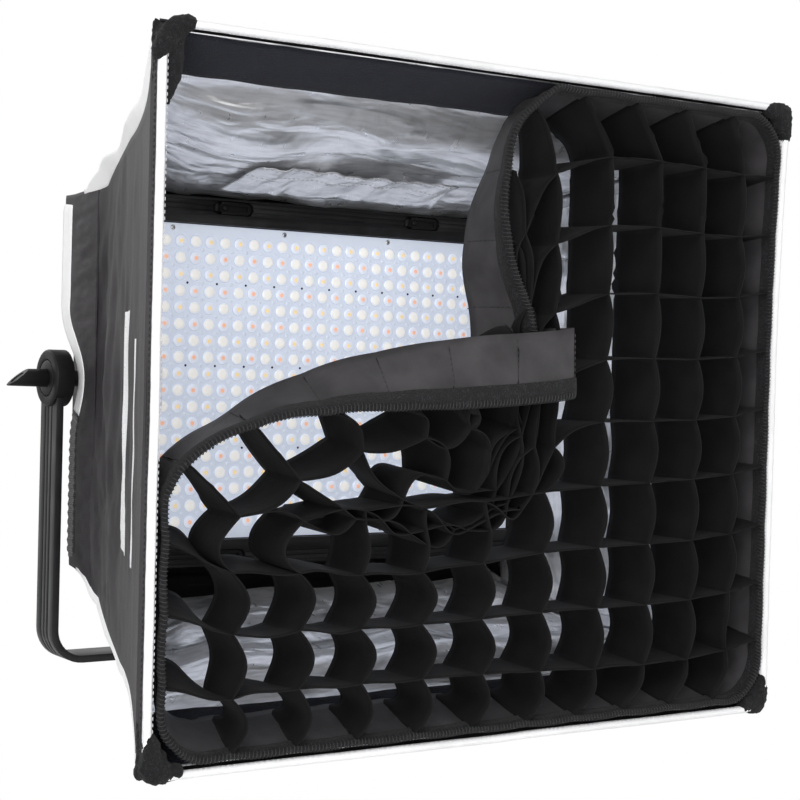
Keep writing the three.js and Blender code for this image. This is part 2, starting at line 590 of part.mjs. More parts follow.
function buildMouthFrame() {
  const centre = { x: MOUTH.shift, z: PIVOT_Z - MOUTH.droop };
  const y = MOUTH.y + SLEEVE_RADIUS;
  const [w, h] = [MOUTH.halfWidth - SLEEVE_RADIUS, MOUTH.halfHeight - SLEEVE_RADIUS];
  const cornerRoom = 16;
  // The upright rods end under the level ones.
  const [levelEnd, uprightEnd] = [2, -FRAME_ROD_RADIUS - 0.5];
  const runs = [
    { name: 'top', axis: 'x', half: w, middle: centre.x, a: y, b: centre.z + h, rodEnd: levelEnd },
    { name: 'bottom', axis: 'x', half: w, middle: centre.x, a: y, b: centre.z - h, rodEnd: levelEnd },
    { name: 'left', axis: 'z', half: h, middle: centre.z, a: centre.x - w, b: y, rodEnd: uprightEnd },
    { name: 'right', axis: 'z', half: h, middle: centre.z, a: centre.x + w, b: y, rodEnd: uprightEnd },
  ];
  for (const { name, axis, half, middle, a, b, rodEnd } of runs) {
    const round = (radius, reach, steps) => {
      const [low, high] = [middle - reach, middle + reach];
      return bar(axis, radius, low, high, a, b, radius, steps);
    };
    const sleeveHalf = half - cornerRoom;
    const tube = round(SLEEVE_RADIUS, sleeveHalf, ROUND_STEPS);
    add(`edge_sleeve_${name}`, 'white', tube.subtract(round(FRAME_ROD_RADIUS + 0.5, sleeveHalf + 1, 16)));
    add(`frame_rod_${name}`, 'steel', round(FRAME_ROD_RADIUS, half + rodEnd, 16));
  }

  const names = ['lower_left', 'lower_right', 'upper_right', 'upper_left'];
  CORNERS.forEach(([sx, sz], k) => {
    const corner = { x: centre.x + sx * MOUTH.halfWidth, z: centre.z + sz * MOUTH.halfHeight };
    const span = (at, sign, inward, outward) => {
      const ends = [at - sign * inward, at + sign * outward];
      return ends.sort((a, b) => a - b);
    };
    const around = (at, room) => [at - room, at + room];
    const rodRoom = FRAME_ROD_RADIUS + GAP;
    const sleeveRoom = SLEEVE_RADIUS + GAP;
    const depth = [MOUTH.y - 5, MOUTH.y - 5 + CAP.depth];
    const arm = (inX, inZ) => {
      const [xs, zs] = [span(corner.x, sx, inX, CAP.proud), span(corner.z, sz, inZ, CAP.proud)];
      return box(...xs, ...depth, ...zs);
    };
    let wrap = arm(CAP.arm, CAP.narrow).add(arm(CAP.narrow, CAP.arm));
    const rodX = corner.x - sx * SLEEVE_RADIUS;
    const rodZ = corner.z - sz * SLEEVE_RADIUS;
    const sleeveEnd = SLEEVE_RADIUS + cornerRoom - 0.5;
    for (const [room, outward] of [[rodRoom, 0], [sleeveRoom, -sleeveEnd]]) {
      const alongX = box(...span(corner.x, sx, 60, outward), ...around(y, room), ...around(rodZ, room));
      const alongZ = box(...around(rodX, room), ...around(y, room), ...span(corner.z, sz, 60, outward));
      wrap = wrap.subtract(alongX).subtract(alongZ);
    }
    add(`corner_wrap_${names[k]}`, 'velcro', wrap);
  });
}

// ---- Grid -------------------------------------------------------------------------------------

// The grid's border runs round the mouth, and its upper left corner is peeled down and inward.
// Points are in (x, z) from the mouth's middle; the inset draws the whole loop inward.
function borderLoop(inset) {
  const { halfWidth, halfHeight } = GRID;
  const peel = new THREE.CatmullRomCurve3([
    [-halfWidth, -70], [-218, -36], [-132, -6], [-41, -1], [40, 4],
  ].map(([x, z]) => new THREE.Vector3(x, z, 0)));
  const back = new THREE.CatmullRomCurve3([
    [62, 12], [34, 57], [12, 103], [12, 165], [48, halfHeight],
  ].map(([x, z]) => new THREE.Vector3(x, z, 0)));
  const path = [
    ...peel.getPoints(12), ...back.getPoints(12),
    new THREE.Vector3(halfWidth, halfHeight, 0),
    new THREE.Vector3(halfWidth, -halfHeight, 0),
    new THREE.Vector3(-halfWidth, -halfHeight, 0),
  ];
  // Each point moves along the bisector of its two edges, to the right of the clockwise path.
  return path.map((p, i) => {
    const before = p.clone().sub(path[(i + path.length - 1) % path.length]).normalize();
    const after = path[(i + 1) % path.length].clone().sub(p).normalize();
    const normal = new THREE.Vector3(before.y + after.y, -before.x - after.x, 0).normalize();
    const stretch = 1 / Math.max(normal.dot(new THREE.Vector3(after.y, -after.x, 0)), 0.5);
    return [p.x + normal.x * inset * stretch, p.y + normal.y * inset * stretch];
  });
}

function buildGrid() {
  const centre = [MOUTH.shift, 0, PIVOT_Z - MOUTH.droop];
  const front = MOUTH.y + GRID.front;
  const rear = front + GRID.depth;
  const region = (inset, low, high) => prism('y', outline(borderLoop(inset)), low, high);
  const border = region(0, front, rear).subtract(region(GRID.wall, front - 1, rear + 1));
  add('grid_border', 'gridCloth', border.translate(centre));

  const latticeInset = GRID.wall + GAP;
  const [cellWidth, cellHeight] = [2 * GRID.halfWidth / GRID.columns, 2 * GRID.halfHeight / GRID.rows];
  const cellFront = front + 1;
  const cellRear = rear - 1;
  const half = 0.6;
  const bars = [];
  for (let i = 1; i < GRID.columns; i += 1) {
    const x = (i - GRID.columns / 2) * cellWidth;
    bars.push(box(x - half, x + half, cellFront, cellRear, -GRID.halfHeight, GRID.halfHeight));
  }
  for (let j = 1; j < GRID.rows; j += 1) {
    const z = (j - GRID.rows / 2) * cellHeight;
    bars.push(box(-GRID.halfWidth, GRID.halfWidth, cellFront, cellRear, z - half, z + half));
  }
  const hemRoom = region(latticeInset + 1.2, cellFront - 1, cellRear + 1);
  const hem = region(latticeInset, cellFront, cellRear).subtract(hemRoom);
  const latticeRoom = region(latticeInset + 0.4, cellFront - 1, cellRear + 1);
  const lattice = wasm.Manifold.union(bars).intersect(latticeRoom);
  const cells = lattice.add(hem);
  add('grid_cells', 'gridCloth', cells.translate(centre));
}

buildYoke();
buildReceiver();
buildPivots();
buildRails();
buildLightEngine();
buildHousing();
buildConsole();
buildShell();
buildCollar();
buildMouthFrame();
buildGrid();

export default group;
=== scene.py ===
"""The softbox on its LED panel light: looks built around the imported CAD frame."""

import json
import math

import bpy
import numpy as np
from mathutils import Matrix, Vector, noise


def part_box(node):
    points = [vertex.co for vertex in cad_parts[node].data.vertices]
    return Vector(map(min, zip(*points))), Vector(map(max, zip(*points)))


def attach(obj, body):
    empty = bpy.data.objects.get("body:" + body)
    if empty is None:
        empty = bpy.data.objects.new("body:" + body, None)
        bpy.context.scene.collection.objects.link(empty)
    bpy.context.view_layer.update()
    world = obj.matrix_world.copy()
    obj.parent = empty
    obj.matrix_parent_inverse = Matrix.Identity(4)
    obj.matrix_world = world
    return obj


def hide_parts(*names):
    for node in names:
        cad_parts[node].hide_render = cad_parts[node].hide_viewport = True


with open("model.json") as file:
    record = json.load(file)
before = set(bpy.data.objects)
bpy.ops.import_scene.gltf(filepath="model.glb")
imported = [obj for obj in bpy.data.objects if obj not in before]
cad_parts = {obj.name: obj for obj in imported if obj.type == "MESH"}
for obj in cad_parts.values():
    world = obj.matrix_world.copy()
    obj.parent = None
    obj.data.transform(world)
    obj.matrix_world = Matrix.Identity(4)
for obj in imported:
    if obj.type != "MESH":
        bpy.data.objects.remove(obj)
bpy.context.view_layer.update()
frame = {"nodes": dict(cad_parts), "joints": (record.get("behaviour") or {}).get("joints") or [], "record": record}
MM = 0.001

# ---- Driving dimensions, taken from the frame -----------------------------------------------------


def span(node):
    low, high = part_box(node)
    return np.array(low), np.array(high)


PIVOT_Z = next(j["pos_m"][2] for j in frame["joints"] if j["name"] == "tilt")
_left, _right = span("edge_sleeve_left"), span("edge_sleeve_right")
_bottom, _top = span("edge_sleeve_bottom"), span("edge_sleeve_top")
MOUTH_Y = _left[0][1]
SPREAD = np.array([4.5, 5.0]) * MM  # added to half the mouth's size; its left edge stays
MOUTH_X = (_left[0][0] + _right[1][0]) / 2 + SPREAD[0]
MOUTH_Z = (_bottom[0][2] + _top[1][2]) / 2
MOUTH_HALF = np.array([_right[1][0] - _left[0][0], _top[1][2] - _bottom[0][2]]) / 2 + SPREAD
SLEEVE_RADIUS = 0.72 * (_left[1][0] - _left[0][0]) / 2
FABRIC_FRONT, FABRIC_REAR = span("shell_left")[0][1], span("shell_left")[1][1]
FRONT_HALF = MOUTH_HALF - 1 * MM
COLLAR_LOW, COLLAR_HIGH = span("collar")
REAR_HALF = np.array([COLLAR_HIGH[0] - COLLAR_LOW[0], COLLAR_HIGH[2] - COLLAR_LOW[2]]) / 2
COLLAR_END = COLLAR_HIGH[1]
SAG = 5 * MM
RIGHT_BOW = 7.5 * MM

SIDES = {"bottom": (0, 1), "right": (1, 2), "top": (2, 3), "left": (3, 0)}
CORNER_NAMES = ("lower_left", "lower_right", "upper_right", "upper_left")
CORNER_SIGNS = ((-1, -1), (1, -1), (1, 1), (-1, 1))
OUT = dict(zip(SIDES, np.array([(0, 0, -1), (1, 0, 0), (0, 0, 1), (-1, 0, 0)], float)))

# ---- Numbers and curves ---------------------------------------------------------------------------


def lerp(a, b, t):
    return a + (b - a) * t


def smoothstep(t):
    t = np.clip(t, 0.0, 1.0)
    return t * t * (3 - 2 * t)


def spline(points, count):
    """A Catmull-Rom curve through the points, as about count points."""
    points = np.array(points, float)
    padded = np.vstack([2 * points[0] - points[1], points, 2 * points[-1] - points[-2]])
    steps = max(1, round(count / (len(points) - 1)))
    made = []
    for p0, p1, p2, p3 in zip(padded, padded[1:], padded[2:], padded[3:]):
        for t in np.arange(steps) / steps:
            bend = (2 * p0 - 5 * p1 + 4 * p2 - p3) * t * t
            made.append(0.5 * (2 * p1 + (p2 - p0) * t + bend + (3 * p1 - p0 - 3 * p2 + p3) * t**3))
    made.append(points[-1])
    return np.array(made)


def profile(*knots):
    """A smooth function through (x, millimetres) knots, in metres."""
    curve = spline(knots, 24 * len(knots))
    return lambda x: np.interp(x, curve[:, 0], curve[:, 1]) * MM


def arc_lengths(path):
    steps = np.linalg.norm(np.diff(path, axis=0), axis=1)
    return np.concatenate([[0], np.cumsum(steps)])


def at_length(path, s):
    lengths = arc_lengths(path)
    return np.stack([np.interp(s, lengths, path[:, a]) for a in range(path.shape[1])], -1)


def resample(path, spacing):
    total = arc_lengths(path)[-1]
    return at_length(path, np.linspace(0, total, max(2, round(total / spacing)) + 1))


def unit(vectors):
    return vectors / np.maximum(np.linalg.norm(vectors, axis=-1, keepdims=True), 1e-12)


def waves(points, size, octaves=3, seed=0.0):
    """Fractal noise between about -1 and 1 at an (n, 3) array of points."""
    offset = Vector((seed * 7.3, seed * 3.1, seed * 5.7))
    values = [noise.fractal(Vector(p) / size + offset, 0.6, 2.1, octaves) for p in points.reshape(-1, 3)]
    return np.array(values).reshape(points.shape[:-1])


# ---- Meshes ---------------------------------------------------------------------------------------


class Batch:
    """Vertices and faces gathered for one object."""

    def __init__(self):
        self.points, self.faces, self.uvs, self.slots = [], [], [], []

    def add(self, points, faces, uvs=None, slot=0):
        start = len(self.points)
        self.points.extend(map(tuple, points))
        self.faces.extend(tuple(start + i for i in face) for face in faces)
        self.uvs.extend(uvs if uvs is not None else [[(0, 0)] * len(face) for face in faces])
        self.slots.extend([slot] * len(faces))

    def build(self, name, *shaders):
        mesh = bpy.data.meshes.new(name)
        mesh.from_pydata(self.points, [], self.faces)
        layer = mesh.uv_layers.new(name="UVMap")
        flat = np.array([c for face in self.uvs for uv in face for c in uv], np.float32)
        layer.data.foreach_set("uv", flat)
        for shader in shaders:
            mesh.materials.append(shader.material)
        mesh.polygons.foreach_set("material_index", self.slots)
        return link_mesh(mesh, name)


def add_sheet(batch, rows, closed=False, slot=0):
    """Adds a grid of (rows, columns, 3) points. The texture coordinates are in metres along it."""
    count, width = rows.shape[:2]
    ring = np.concatenate([rows, rows[:, :1]], 1) if closed else rows
    along = np.linalg.norm(np.diff(ring, axis=1), axis=2).mean(0)
    down = np.linalg.norm(np.diff(rows, axis=0), axis=2).mean(1)
    u, v = (np.concatenate([[0], np.cumsum(steps)]) for steps in (along, down))
    faces, uvs = [], []
    for i in range(count - 1):
        for j in range(width if closed else width - 1):
            k = (j + 1) % width
            faces.append((i * width + j, i * width + k, (i + 1) * width + k, (i + 1) * width + j))
            uvs.append([(u[j], v[i]), (u[j + 1], v[i]), (u[j + 1], v[i + 1]), (u[j], v[i + 1])])
    batch.add(rows.reshape(-1, 3), faces, uvs, slot)


def add_tube(batch, rings, slot=0):
    """Rings of points joined into a skin, with a face over each end."""
    start, count, width = len(batch.points), *rings.shape[:2]
    add_sheet(batch, rings, closed=True, slot=slot)
    last = start + (count - 1) * width
    ends = [range(start + width - 1, start - 1, -1), range(last, last + width)]
    batch.faces.extend(map(tuple, ends))
    batch.uvs.extend([[(0, 0)] * width] * 2)
    batch.slots.extend([slot] * 2)


def link_mesh(mesh, name):
    mesh.polygons.foreach_set("use_smooth", [True] * len(mesh.polygons))
    mesh.update()
    made = bpy.data.objects.new(name, mesh)
    bpy.context.scene.collection.objects.link(made)
    return made


def add_sweep(batch, path, up, section):
    """Sweeps a closed section of (n, 2) points along a path. Its second axis points up."""
    tangents = unit(np.gradient(path, axis=0))
    sides = unit(np.cross(tangents, np.broadcast_to(np.array(up, float), path.shape)))
    ups = np.cross(sides, tangents)
    section = np.broadcast_to(section, (len(path), *section.shape[-2:]))
    add_tube(batch, path[:, None] + section[..., :1] * sides[:, None] + section[..., 1:] * ups[:, None])


def circle(radius, sides):
    angles = np.arange(sides) * 2 * math.pi / sides
    return radius * np.stack([np.cos(angles), np.sin(angles)], 1)


STITCH = ((0.0, 0.45), (0.25, 1.0), (0.75, 1.0), (1.0, 0.45))  # share of its length, share of its radius


def add_stitches(batch, path, up, length=2.3 * MM, gap=1.5 * MM, radius=0.32 * MM, lift=0.0, slot=0):
    """A row of short raised stitches along a path."""
    up = unit(np.array(up, float))
    for middle in np.arange(length, arc_lengths(path)[-1] - length, length + gap):
        first, last = at_length(path, np.array([middle - length / 2, middle + length / 2]))
        ring = circle(radius, 5) @ np.array([unit(np.cross(last - first, up)), up])
        rings = [lerp(first, last, share) + up * lift + ring * size for share, size in STITCH]
        add_tube(batch, np.array(rings), slot)


def modifier(piece, kind, **settings):
    made = piece.modifiers.new(kind.title(), kind)
    for key, value in settings.items():
        setattr(made, key, value)
    return made


def solidify(piece, thickness, offset=0.0):
    return modifier(piece, "SOLIDIFY", thickness=thickness, offset=offset, use_even_offset=False)


def finish_piece(piece, body, slot, *replaced):
    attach(piece, body)
    if replaced:
        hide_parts(*replaced)


def sheet_piece(name, shader, rows, thickness, home, *replaced, offset=0.0, closed=False):
    """One sheet of cloth as a piece. Home is the body it rides on and its material slot, which is not used."""
    batch = Batch()
    add_sheet(batch, rows, closed)
    piece = batch.build(name, shader)
    solidify(piece, thickness, offset)
    finish_piece(piece, *home, *replaced)


# ---- Materials ------------------------------------------------------------------------------------


class Shader:
    """A procedural material around one Principled shader."""

    def __init__(self, name, colour, roughness, **inputs):
        self.material = bpy.data.materials.new(name)
        self.material.use_nodes = True
        self.tree = self.material.node_tree
        self.surface = self.tree.nodes["Principled BSDF"]
        self.places = self.tree.nodes.new("ShaderNodeTexCoord")
        self.normal = None
        inputs = {key.replace("_", " "): value for key, value in inputs.items()}
        self.feed(self.surface, {"Base Color": (*colour, 1), "Roughness": roughness, **inputs})

    def feed(self, node, inputs):
        for key, value in inputs.items():
            if isinstance(value, bpy.types.NodeSocket):
                self.tree.links.new(value, node.inputs[key])
            else:
                node.inputs[key].default_value = value

    def add(self, kind, inputs=None, **properties):
        made = self.tree.nodes.new("ShaderNode" + kind)
        for key, value in properties.items():
            setattr(made, key, value)
        self.feed(made, inputs or {})
        return made

    def vector(self, source="Object", stretch=(1, 1, 1), turn=0.0):
        inputs = {"Vector": self.places.outputs[source], "Scale": stretch, "Rotation": (0, 0, turn)}
        return self.add("Mapping", inputs).outputs["Vector"]

    def noise(self, size, detail=3.0, source="Object", stretch=(1, 1, 1), distortion=0.0):
        inputs = {"Vector": self.vector(source, stretch), "Scale": 1 / size, "Detail": detail}
        return self.add("TexNoise", {**inputs, "Distortion": distortion}).outputs["Fac"]

    def cells(self, size, feature="F1"):
        inputs = {"Vector": self.vector(), "Scale": 1 / size}
        return self.add("TexVoronoi", inputs, feature=feature).outputs["Distance"]

    def threads(self, pitch, direction="X", turn=0.0):
        inputs = {"Vector": self.vector("UV", turn=turn), "Scale": 0.314 / pitch}
        return self.add("TexWave", inputs, wave_type="BANDS", bands_direction=direction).outputs["Fac"]

    def math(self, operation, a, b):
        return self.add("Math", {0: a, 1: b}, operation=operation).outputs[0]

    def ramp(self, value, low, high, to_low=0.0, to_high=1.0):
        inputs = {"Value": value, "From Min": low, "From Max": high, "To Min": to_low, "To Max": to_high}
        return self.add("MapRange", inputs).outputs["Result"]

    def blend(self, share, a, b):
        a, b = (c if isinstance(c, bpy.types.NodeSocket) else (*c, 1) for c in (a, b))
        return self.add("Mix", {0: share, 6: a, 7: b}, data_type="RGBA").outputs[2]

    def paint(self, share, a, b):
        self.colour = self.blend(share, a, b)
        self.feed(self.surface, {"Base Color": self.colour})

    def rough(self, value):
        self.feed(self.surface, {"Roughness": value})

    def bump(self, height, distance, strength=1.0):
        inputs = {"Height": height, "Distance": distance, "Strength": strength}
        if self.normal is not None:
            inputs["Normal"] = self.normal
        self.normal = self.add("Bump", inputs).outputs["Normal"]
        self.feed(self.surface, {"Normal": self.normal})

    def weave(self, pitch, depth):
        cloth = self.math("MULTIPLY", self.threads(pitch, "X"), self.threads(pitch, "Y"))
        self.bump(cloth, depth)
        return cloth

    # Painted light: an emission that brightens the lens sheet and domes, though the lamp is off.
    def painted_glow(self, colour):
        self.feed(self.surface, {"Emission Color": colour, "Emission Strength": PAINTED_GLOW_STRENGTH})

    def wear(self, base, worn):
        """Lightens the edges in patches, where the surface bends sharply."""
        edges = self.ramp(self.add("NewGeometry").outputs["Pointiness"], 0.52, 0.62)
        patches = self.ramp(self.noise(18 * MM, 4), 0.42, 0.65)
        self.paint(self.math("MULTIPLY", self.math("MULTIPLY", edges, patches), 0.5), base, worn)


def make_nylon(name="nylon"):
    dark, light = (0.015, 0.0135, 0.015), (0.029, 0.026, 0.029)
    s = Shader(name, dark, 0.62, Sheen_Weight=0.02, Specular_IOR_Level=0.2)
    cloth = s.weave(0.9 * MM, 0.10 * MM)
    cloud = s.math("MULTIPLY", s.noise(60 * MM, 4), 0.6)
    flecks = s.math("MULTIPLY", s.noise(1.6 * MM, 2, stretch=(1, 1, 0.35)), 0.4)
    s.paint(s.ramp(s.math("ADD", cloud, flecks), 0.35, 0.65), dark, light)
    s.rough(s.ramp(cloth, 0, 1, 0.66, 0.5))
    return s


def make_printed_nylon(stripes):
    """Nylon with plain printed stripes, each (from u, to u, from v, to v) in metres on the panel."""
    s = make_nylon("nylon_printed")
    place = s.add("SeparateXYZ", {"Vector": s.places.outputs["UV"]}).outputs
    printed = []
    for u0, u1, v0, v1 in stripes:
        bands = [(s.math("GREATER_THAN", at, low), s.math("LESS_THAN", at, high))
                 for at, low, high in ((place["X"], u0, u1), (place["Y"], v0, v1))]
        printed.append(s.math("MULTIPLY", *(s.math("MULTIPLY", *band) for band in bands)))
    worn = s.ramp(s.noise(0.8 * MM, 2), 0.25, 0.4)
    s.paint(s.math("MULTIPLY", s.math("MAXIMUM", *printed), worn), s.colour, (0.85, 0.85, 0.86))
    return s


def make_white_tape():
    s = Shader("white_tape", (0.86,) * 3, 0.55)
    s.weave(0.8 * MM, 0.12 * MM)
    # Greyer in random patches.
    grey_mottle = s.ramp(s.noise(35 * MM, 4), 0.45, 0.75)
    s.paint(s.math("MULTIPLY", grey_mottle, 0.5), (0.86, 0.86, 0.8686), (0.7052,) * 3)
    return s


def make_foil(name, tone, crinkle=1.0):
    s = Shader(name, (tone,) * 3, 0.34, Metallic=0.8)
    broad = s.noise(70 * MM, 2, "UV", (1, 2.4, 1), 0.9)
    fine = s.noise(13 * MM, 3, "UV", (1.4, 0.7, 1), 0.4)
    s.bump(broad, 4.0 * MM * crinkle)
    s.bump(fine, 0.7 * MM * crinkle)
    s.bump(s.noise(2.5 * MM, 2, "UV", (1, 0.4, 1)), 0.06 * MM)
    # Painted reflections: broad bands and fine streaks darken the foil where it would mirror dark surroundings.
    bands = s.ramp(s.noise(85 * MM, 3, "UV", (0.7, 2.2, 1), 1.2), 0.57, 0.66)
    reflection_streaks = s.ramp(s.noise(7 * MM, 3, "UV", (0.35, 2.2, 1)), 0.45, 0.75, 0.0, 0.35)
    light, dark = tone * np.array([(1, 1.005, 1.03), (0.42, 0.43, 0.44)])
    s.paint(s.math("MAXIMUM", bands, reflection_streaks), light, dark)
    s.rough(s.ramp(fine, 0.3, 0.7, 0.26, 0.42))
    return s


def make_pile(name, colour, light):
    s = Shader(name, colour, 0.9, Sheen_Weight=0.05, Specular_IOR_Level=0.2)
    tufts = s.noise(1.1 * MM, 3)
    clumps = s.noise(5 * MM, 3)
    s.paint(s.math("MULTIPLY", s.ramp(tufts, 0.5, 0.75), s.ramp(clumps, 0.3, 0.7)), colour, light)
    s.bump(tufts, 0.9 * MM)
    s.bump(s.cells(0.9 * MM), 0.5 * MM, 0.6)
    return s


def make_grid_cloth(name, dark, light, rough, sheen):
    s = Shader(name, dark, rough, Sheen_Weight=sheen, Specular_IOR_Level=0.15)
    s.paint(s.ramp(s.noise(24 * MM, 4), 0.35, 0.7), dark, light)
    s.bump(s.threads(0.7 * MM, turn=0.7), 0.06 * MM)
    s.bump(s.noise(9 * MM, 3), 0.35 * MM)
    return s


def make_thread(name, colour):
    s = Shader(name, colour, 0.7)
    s.paint(s.noise(1.2 * MM, 2), colour, [c * 1.5 + 0.01 for c in colour])
    s.bump(s.noise(0.3 * MM, 1), 0.1 * MM)
    return s


def make_elastic():
    s = Shader("elastic", (0.012, 0.012, 0.013), 0.75, Sheen_Weight=0.3)
    ribs = s.threads(1.6 * MM)
    s.paint(ribs, (0.008, 0.008, 0.009), (0.05, 0.05, 0.052))
    s.bump(ribs, 0.5 * MM)
    return s


def make_painted_metal():
    s = Shader("black_painted_metal", (0.012,) * 3, 0.42, Specular_IOR_Level=0.24)
    s.wear((0.010, 0.010, 0.011), (0.06, 0.06, 0.064))
    s.bump(s.noise(0.7 * MM, 2), 0.04 * MM, 0.5)
    s.rough(s.ramp(s.noise(30 * MM, 4), 0.3, 0.7, 0.36, 0.5))
    return s


def make_plastic():
    s = Shader("black_moulded_plastic", (0.0075,) * 3, 0.5, Specular_IOR_Level=0.16)
    s.wear((0.0075, 0.0075, 0.00795), (0.0225,) * 3)
    s.bump(s.noise(0.55 * MM, 2), 0.07 * MM, 0.7)
    s.bump(s.cells(0.9 * MM), 0.03 * MM, 0.4)
    s.rough(s.ramp(s.noise(22 * MM, 4), 0.3, 0.7, 0.43, 0.58))
    return s


def make_steel():
    s = Shader("zinc_plated_steel", (0.62, 0.63, 0.65), 0.3, Metallic=1.0)
    s.paint(s.noise(6 * MM, 4), (0.58, 0.59, 0.61), (0.72, 0.71, 0.68))
    s.rough(s.ramp(s.noise(2 * MM, 3, stretch=(1, 1, 8)), 0.3, 0.7, 0.22, 0.42))
    s.bump(s.noise(0.4 * MM, 1, stretch=(1, 1, 6)), 0.01 * MM)
    return s


def make_aluminium():
    s = Shader("extruded_aluminium", (0.55, 0.56, 0.57), 0.36, Metallic=1.0)
    lines = s.noise(0.5 * MM, 2, stretch=(6, 6, 0.2))
    s.paint(lines, (0.5, 0.51, 0.52), (0.64, 0.64, 0.65))
    s.rough(s.ramp(lines, 0.3, 0.7, 0.3, 0.45))
    s.bump(lines, 0.02 * MM)
    return s


def make_circuit():
    s = Shader("circuit_board", (0.02, 0.14, 0.07), 0.35, Coat_Weight=0.3)
    tracks = s.ramp(s.cells(6 * MM, "DISTANCE_TO_EDGE"), 0.04, 0.06)
    s.paint(tracks, (0.05, 0.25, 0.12), (0.015, 0.12, 0.06))
    s.bump(tracks, 0.04 * MM)
    return s


def make_board_white():
    s = Shader("white_solder_mask", (0.82, 0.83, 0.86), 0.45)
    s.paint(s.noise(10 * MM, 2), (0.80, 0.82, 0.86), (0.86, 0.87, 0.88))
    s.bump(s.noise(0.6 * MM, 1), 0.02 * MM)
    return s


# Strength of the painted glow on the lens sheet and domes; the lamp is off.
PAINTED_GLOW_STRENGTH = 0.53


def make_lens_plate():
    s = Shader("lens_sheet", (0.55, 0.60, 0.70), 0.28, Coat_Weight=0.4, Coat_Roughness=0.12)
    s.paint(s.noise(30 * MM, 3), (0.56, 0.61, 0.72), (0.62, 0.67, 0.77))
    s.bump(s.noise(1.5 * MM, 1), 0.03 * MM)
    # Painted light: the sheet glows in its own colour.
    s.painted_glow(s.colour)
    return s


def make_lens(name, centre, spread):
    """A lens dome. Its texture coordinate runs from 0 at the middle to 1 at the rim."""
    s = Shader(name, (0.75, 0.78, 0.84), 0.2, Coat_Weight=0.5, Coat_Roughness=0.1)
    radius = s.add("SeparateXYZ", {"Vector": s.places.outputs["UV"]}).outputs["X"]
    ring = s.blend(s.ramp(radius, 0.6, 0.9), (0.70, 0.76, 0.88), (0.74, 0.79, 0.88))
    # Painted shade: each dome darkens towards its rim.
    rim = s.blend(s.ramp(radius, 0.86, 0.98), ring, (0.50, 0.55, 0.66))
    s.paint(s.ramp(radius, spread - 0.16, spread + 0.1), centre, rim)
    s.bump(s.noise(0.9 * MM, 1), 0.02 * MM)
    # Painted light: the dome glows in its own colour.
    s.painted_glow(s.colour)
    return s


def make_display():
    s = Shader("display_glass", (0.006, 0.007, 0.01), 0.06, Coat_Weight=1.0)
    s.paint(s.noise(12 * MM, 2), (0.005, 0.006, 0.009), (0.012, 0.014, 0.02))
    s.rough(s.ramp(s.noise(9 * MM, 4), 0.4, 0.7, 0.05, 0.14))
    return s


# ---- CAD nodes that stay --------------------------------------------------------------------------


def dress_cad():
    """Materials and small bevels for the hard parts."""
    by_slot = {
        "black_metal": PAINT, "black_plastic": PLASTIC, "steel": STEEL, "heat_sink_metal": ALUMINIUM,
        "led_board_white": BOARD, "clear_lens": LENS_SHEET, "circuit_board": CIRCUIT, "display": DISPLAY,
    }
    bevels = {"black_metal": 0.7, "black_plastic": 0.6, "steel": 0.35, "heat_sink_metal": 0.25}
    slots = {row["node"]: row["material_slot"] for row in frame["record"]["subparts"]}
    for node, piece in frame["nodes"].items():
        if slots[node] not in by_slot:
            continue
        piece.data.materials.clear()
        piece.data.materials.append(by_slot[slots[node]].material)
        piece.data.polygons.foreach_set("use_smooth", [True] * len(piece.data.polygons))
        modifier(piece, "WELD", merge_threshold=0.01 * MM)
        modifier(piece, "BEVEL", width=bevels.get(slots[node], 0.2) * MM, segments=2,
                 limit_method="ANGLE", angle_limit=math.radians(32), harden_normals=True)


# ---- The fabric tube ------------------------------------------------------------------------------

# In millimetres along the tube, which runs from 0 at the mouth to 1 at the collar's front and a bit past it.
UPPER_RISE = profile((0, 0), (0.45, 0), (0.64, 4.5), (0.88, 7), (1.0, 5), (1.2, 0), (1.4, 0))
LOWER_DROP = profile((0, 0), (0.25, -3), (0.45, 8), (0.6, 19), (0.83, 26), (1.02, 22), (1.11, 8),
                     (1.2, 2.5), (1.4, 0))
UPPER_LOBE = profile((0, 1), (0.2, 1), (0.36, 1.5), (0.49, 6.5), (0.58, 7.5), (0.69, 5), (0.79, 4.5),
                     (0.91, 11), (1.0, 11), (1.1, 6), (1.18, 2), (1.4, 1))
LOWER_LOBE = profile((0, 1), (0.2, 1), (0.5, 1.6), (0.7, 1.4), (0.85, 2.5), (1.0, 2.5), (1.12, 2), (1.4, 1))
UPPER_REACH = profile((0, 3), (0.1, 14), (0.2, 20), (0.45, 9), (0.6, 4), (0.85, 2.5), (1.4, 2))
LOWER_REACH = profile((0, 3), (0.3, 4), (1.4, 3))
SEAM_T = 1.06  # the collar is sewn on here


def tube_y(t):
    return lerp(FABRIC_FRONT, FABRIC_REAR, t)


def bow_right(points):
    """Draws the mouth's right edge in below its upper corner, fading out towards the collar."""
    drop = np.clip((MOUTH_Z + MOUTH_HALF[1] - points[..., 2]) / (0.9 * MOUTH_HALF[1]), 0, 1)
    reach = np.clip((points[..., 0] - MOUTH_X) / MOUTH_HALF[0], 0, 1)
    front = 1 - np.clip((points[..., 1] - FABRIC_FRONT) / (FABRIC_REAR - FABRIC_FRONT), 0, 1)
    moved = np.array(points, float)
    moved[..., 0] -= RIGHT_BOW * (1 - (1 - drop) ** 2) * reach * front
    return moved


def tube_corner(t, k, inset=0.0):
    return bow_right(straight_corner(t, k, inset))


def vertex_values(mesh, key):
    values = np.zeros(len(mesh.vertices) * 3)
    mesh.vertices.foreach_get(key, values)
    return values.reshape(-1, 3)


def settled_mesh(piece):
    """The mesh that a piece's modifiers make. The piece itself is removed."""
    graph = bpy.context.evaluated_depsgraph_get()
    mesh = bpy.data.meshes.new_from_object(piece.evaluated_get(graph))
    bpy.data.objects.remove(piece)
    return mesh


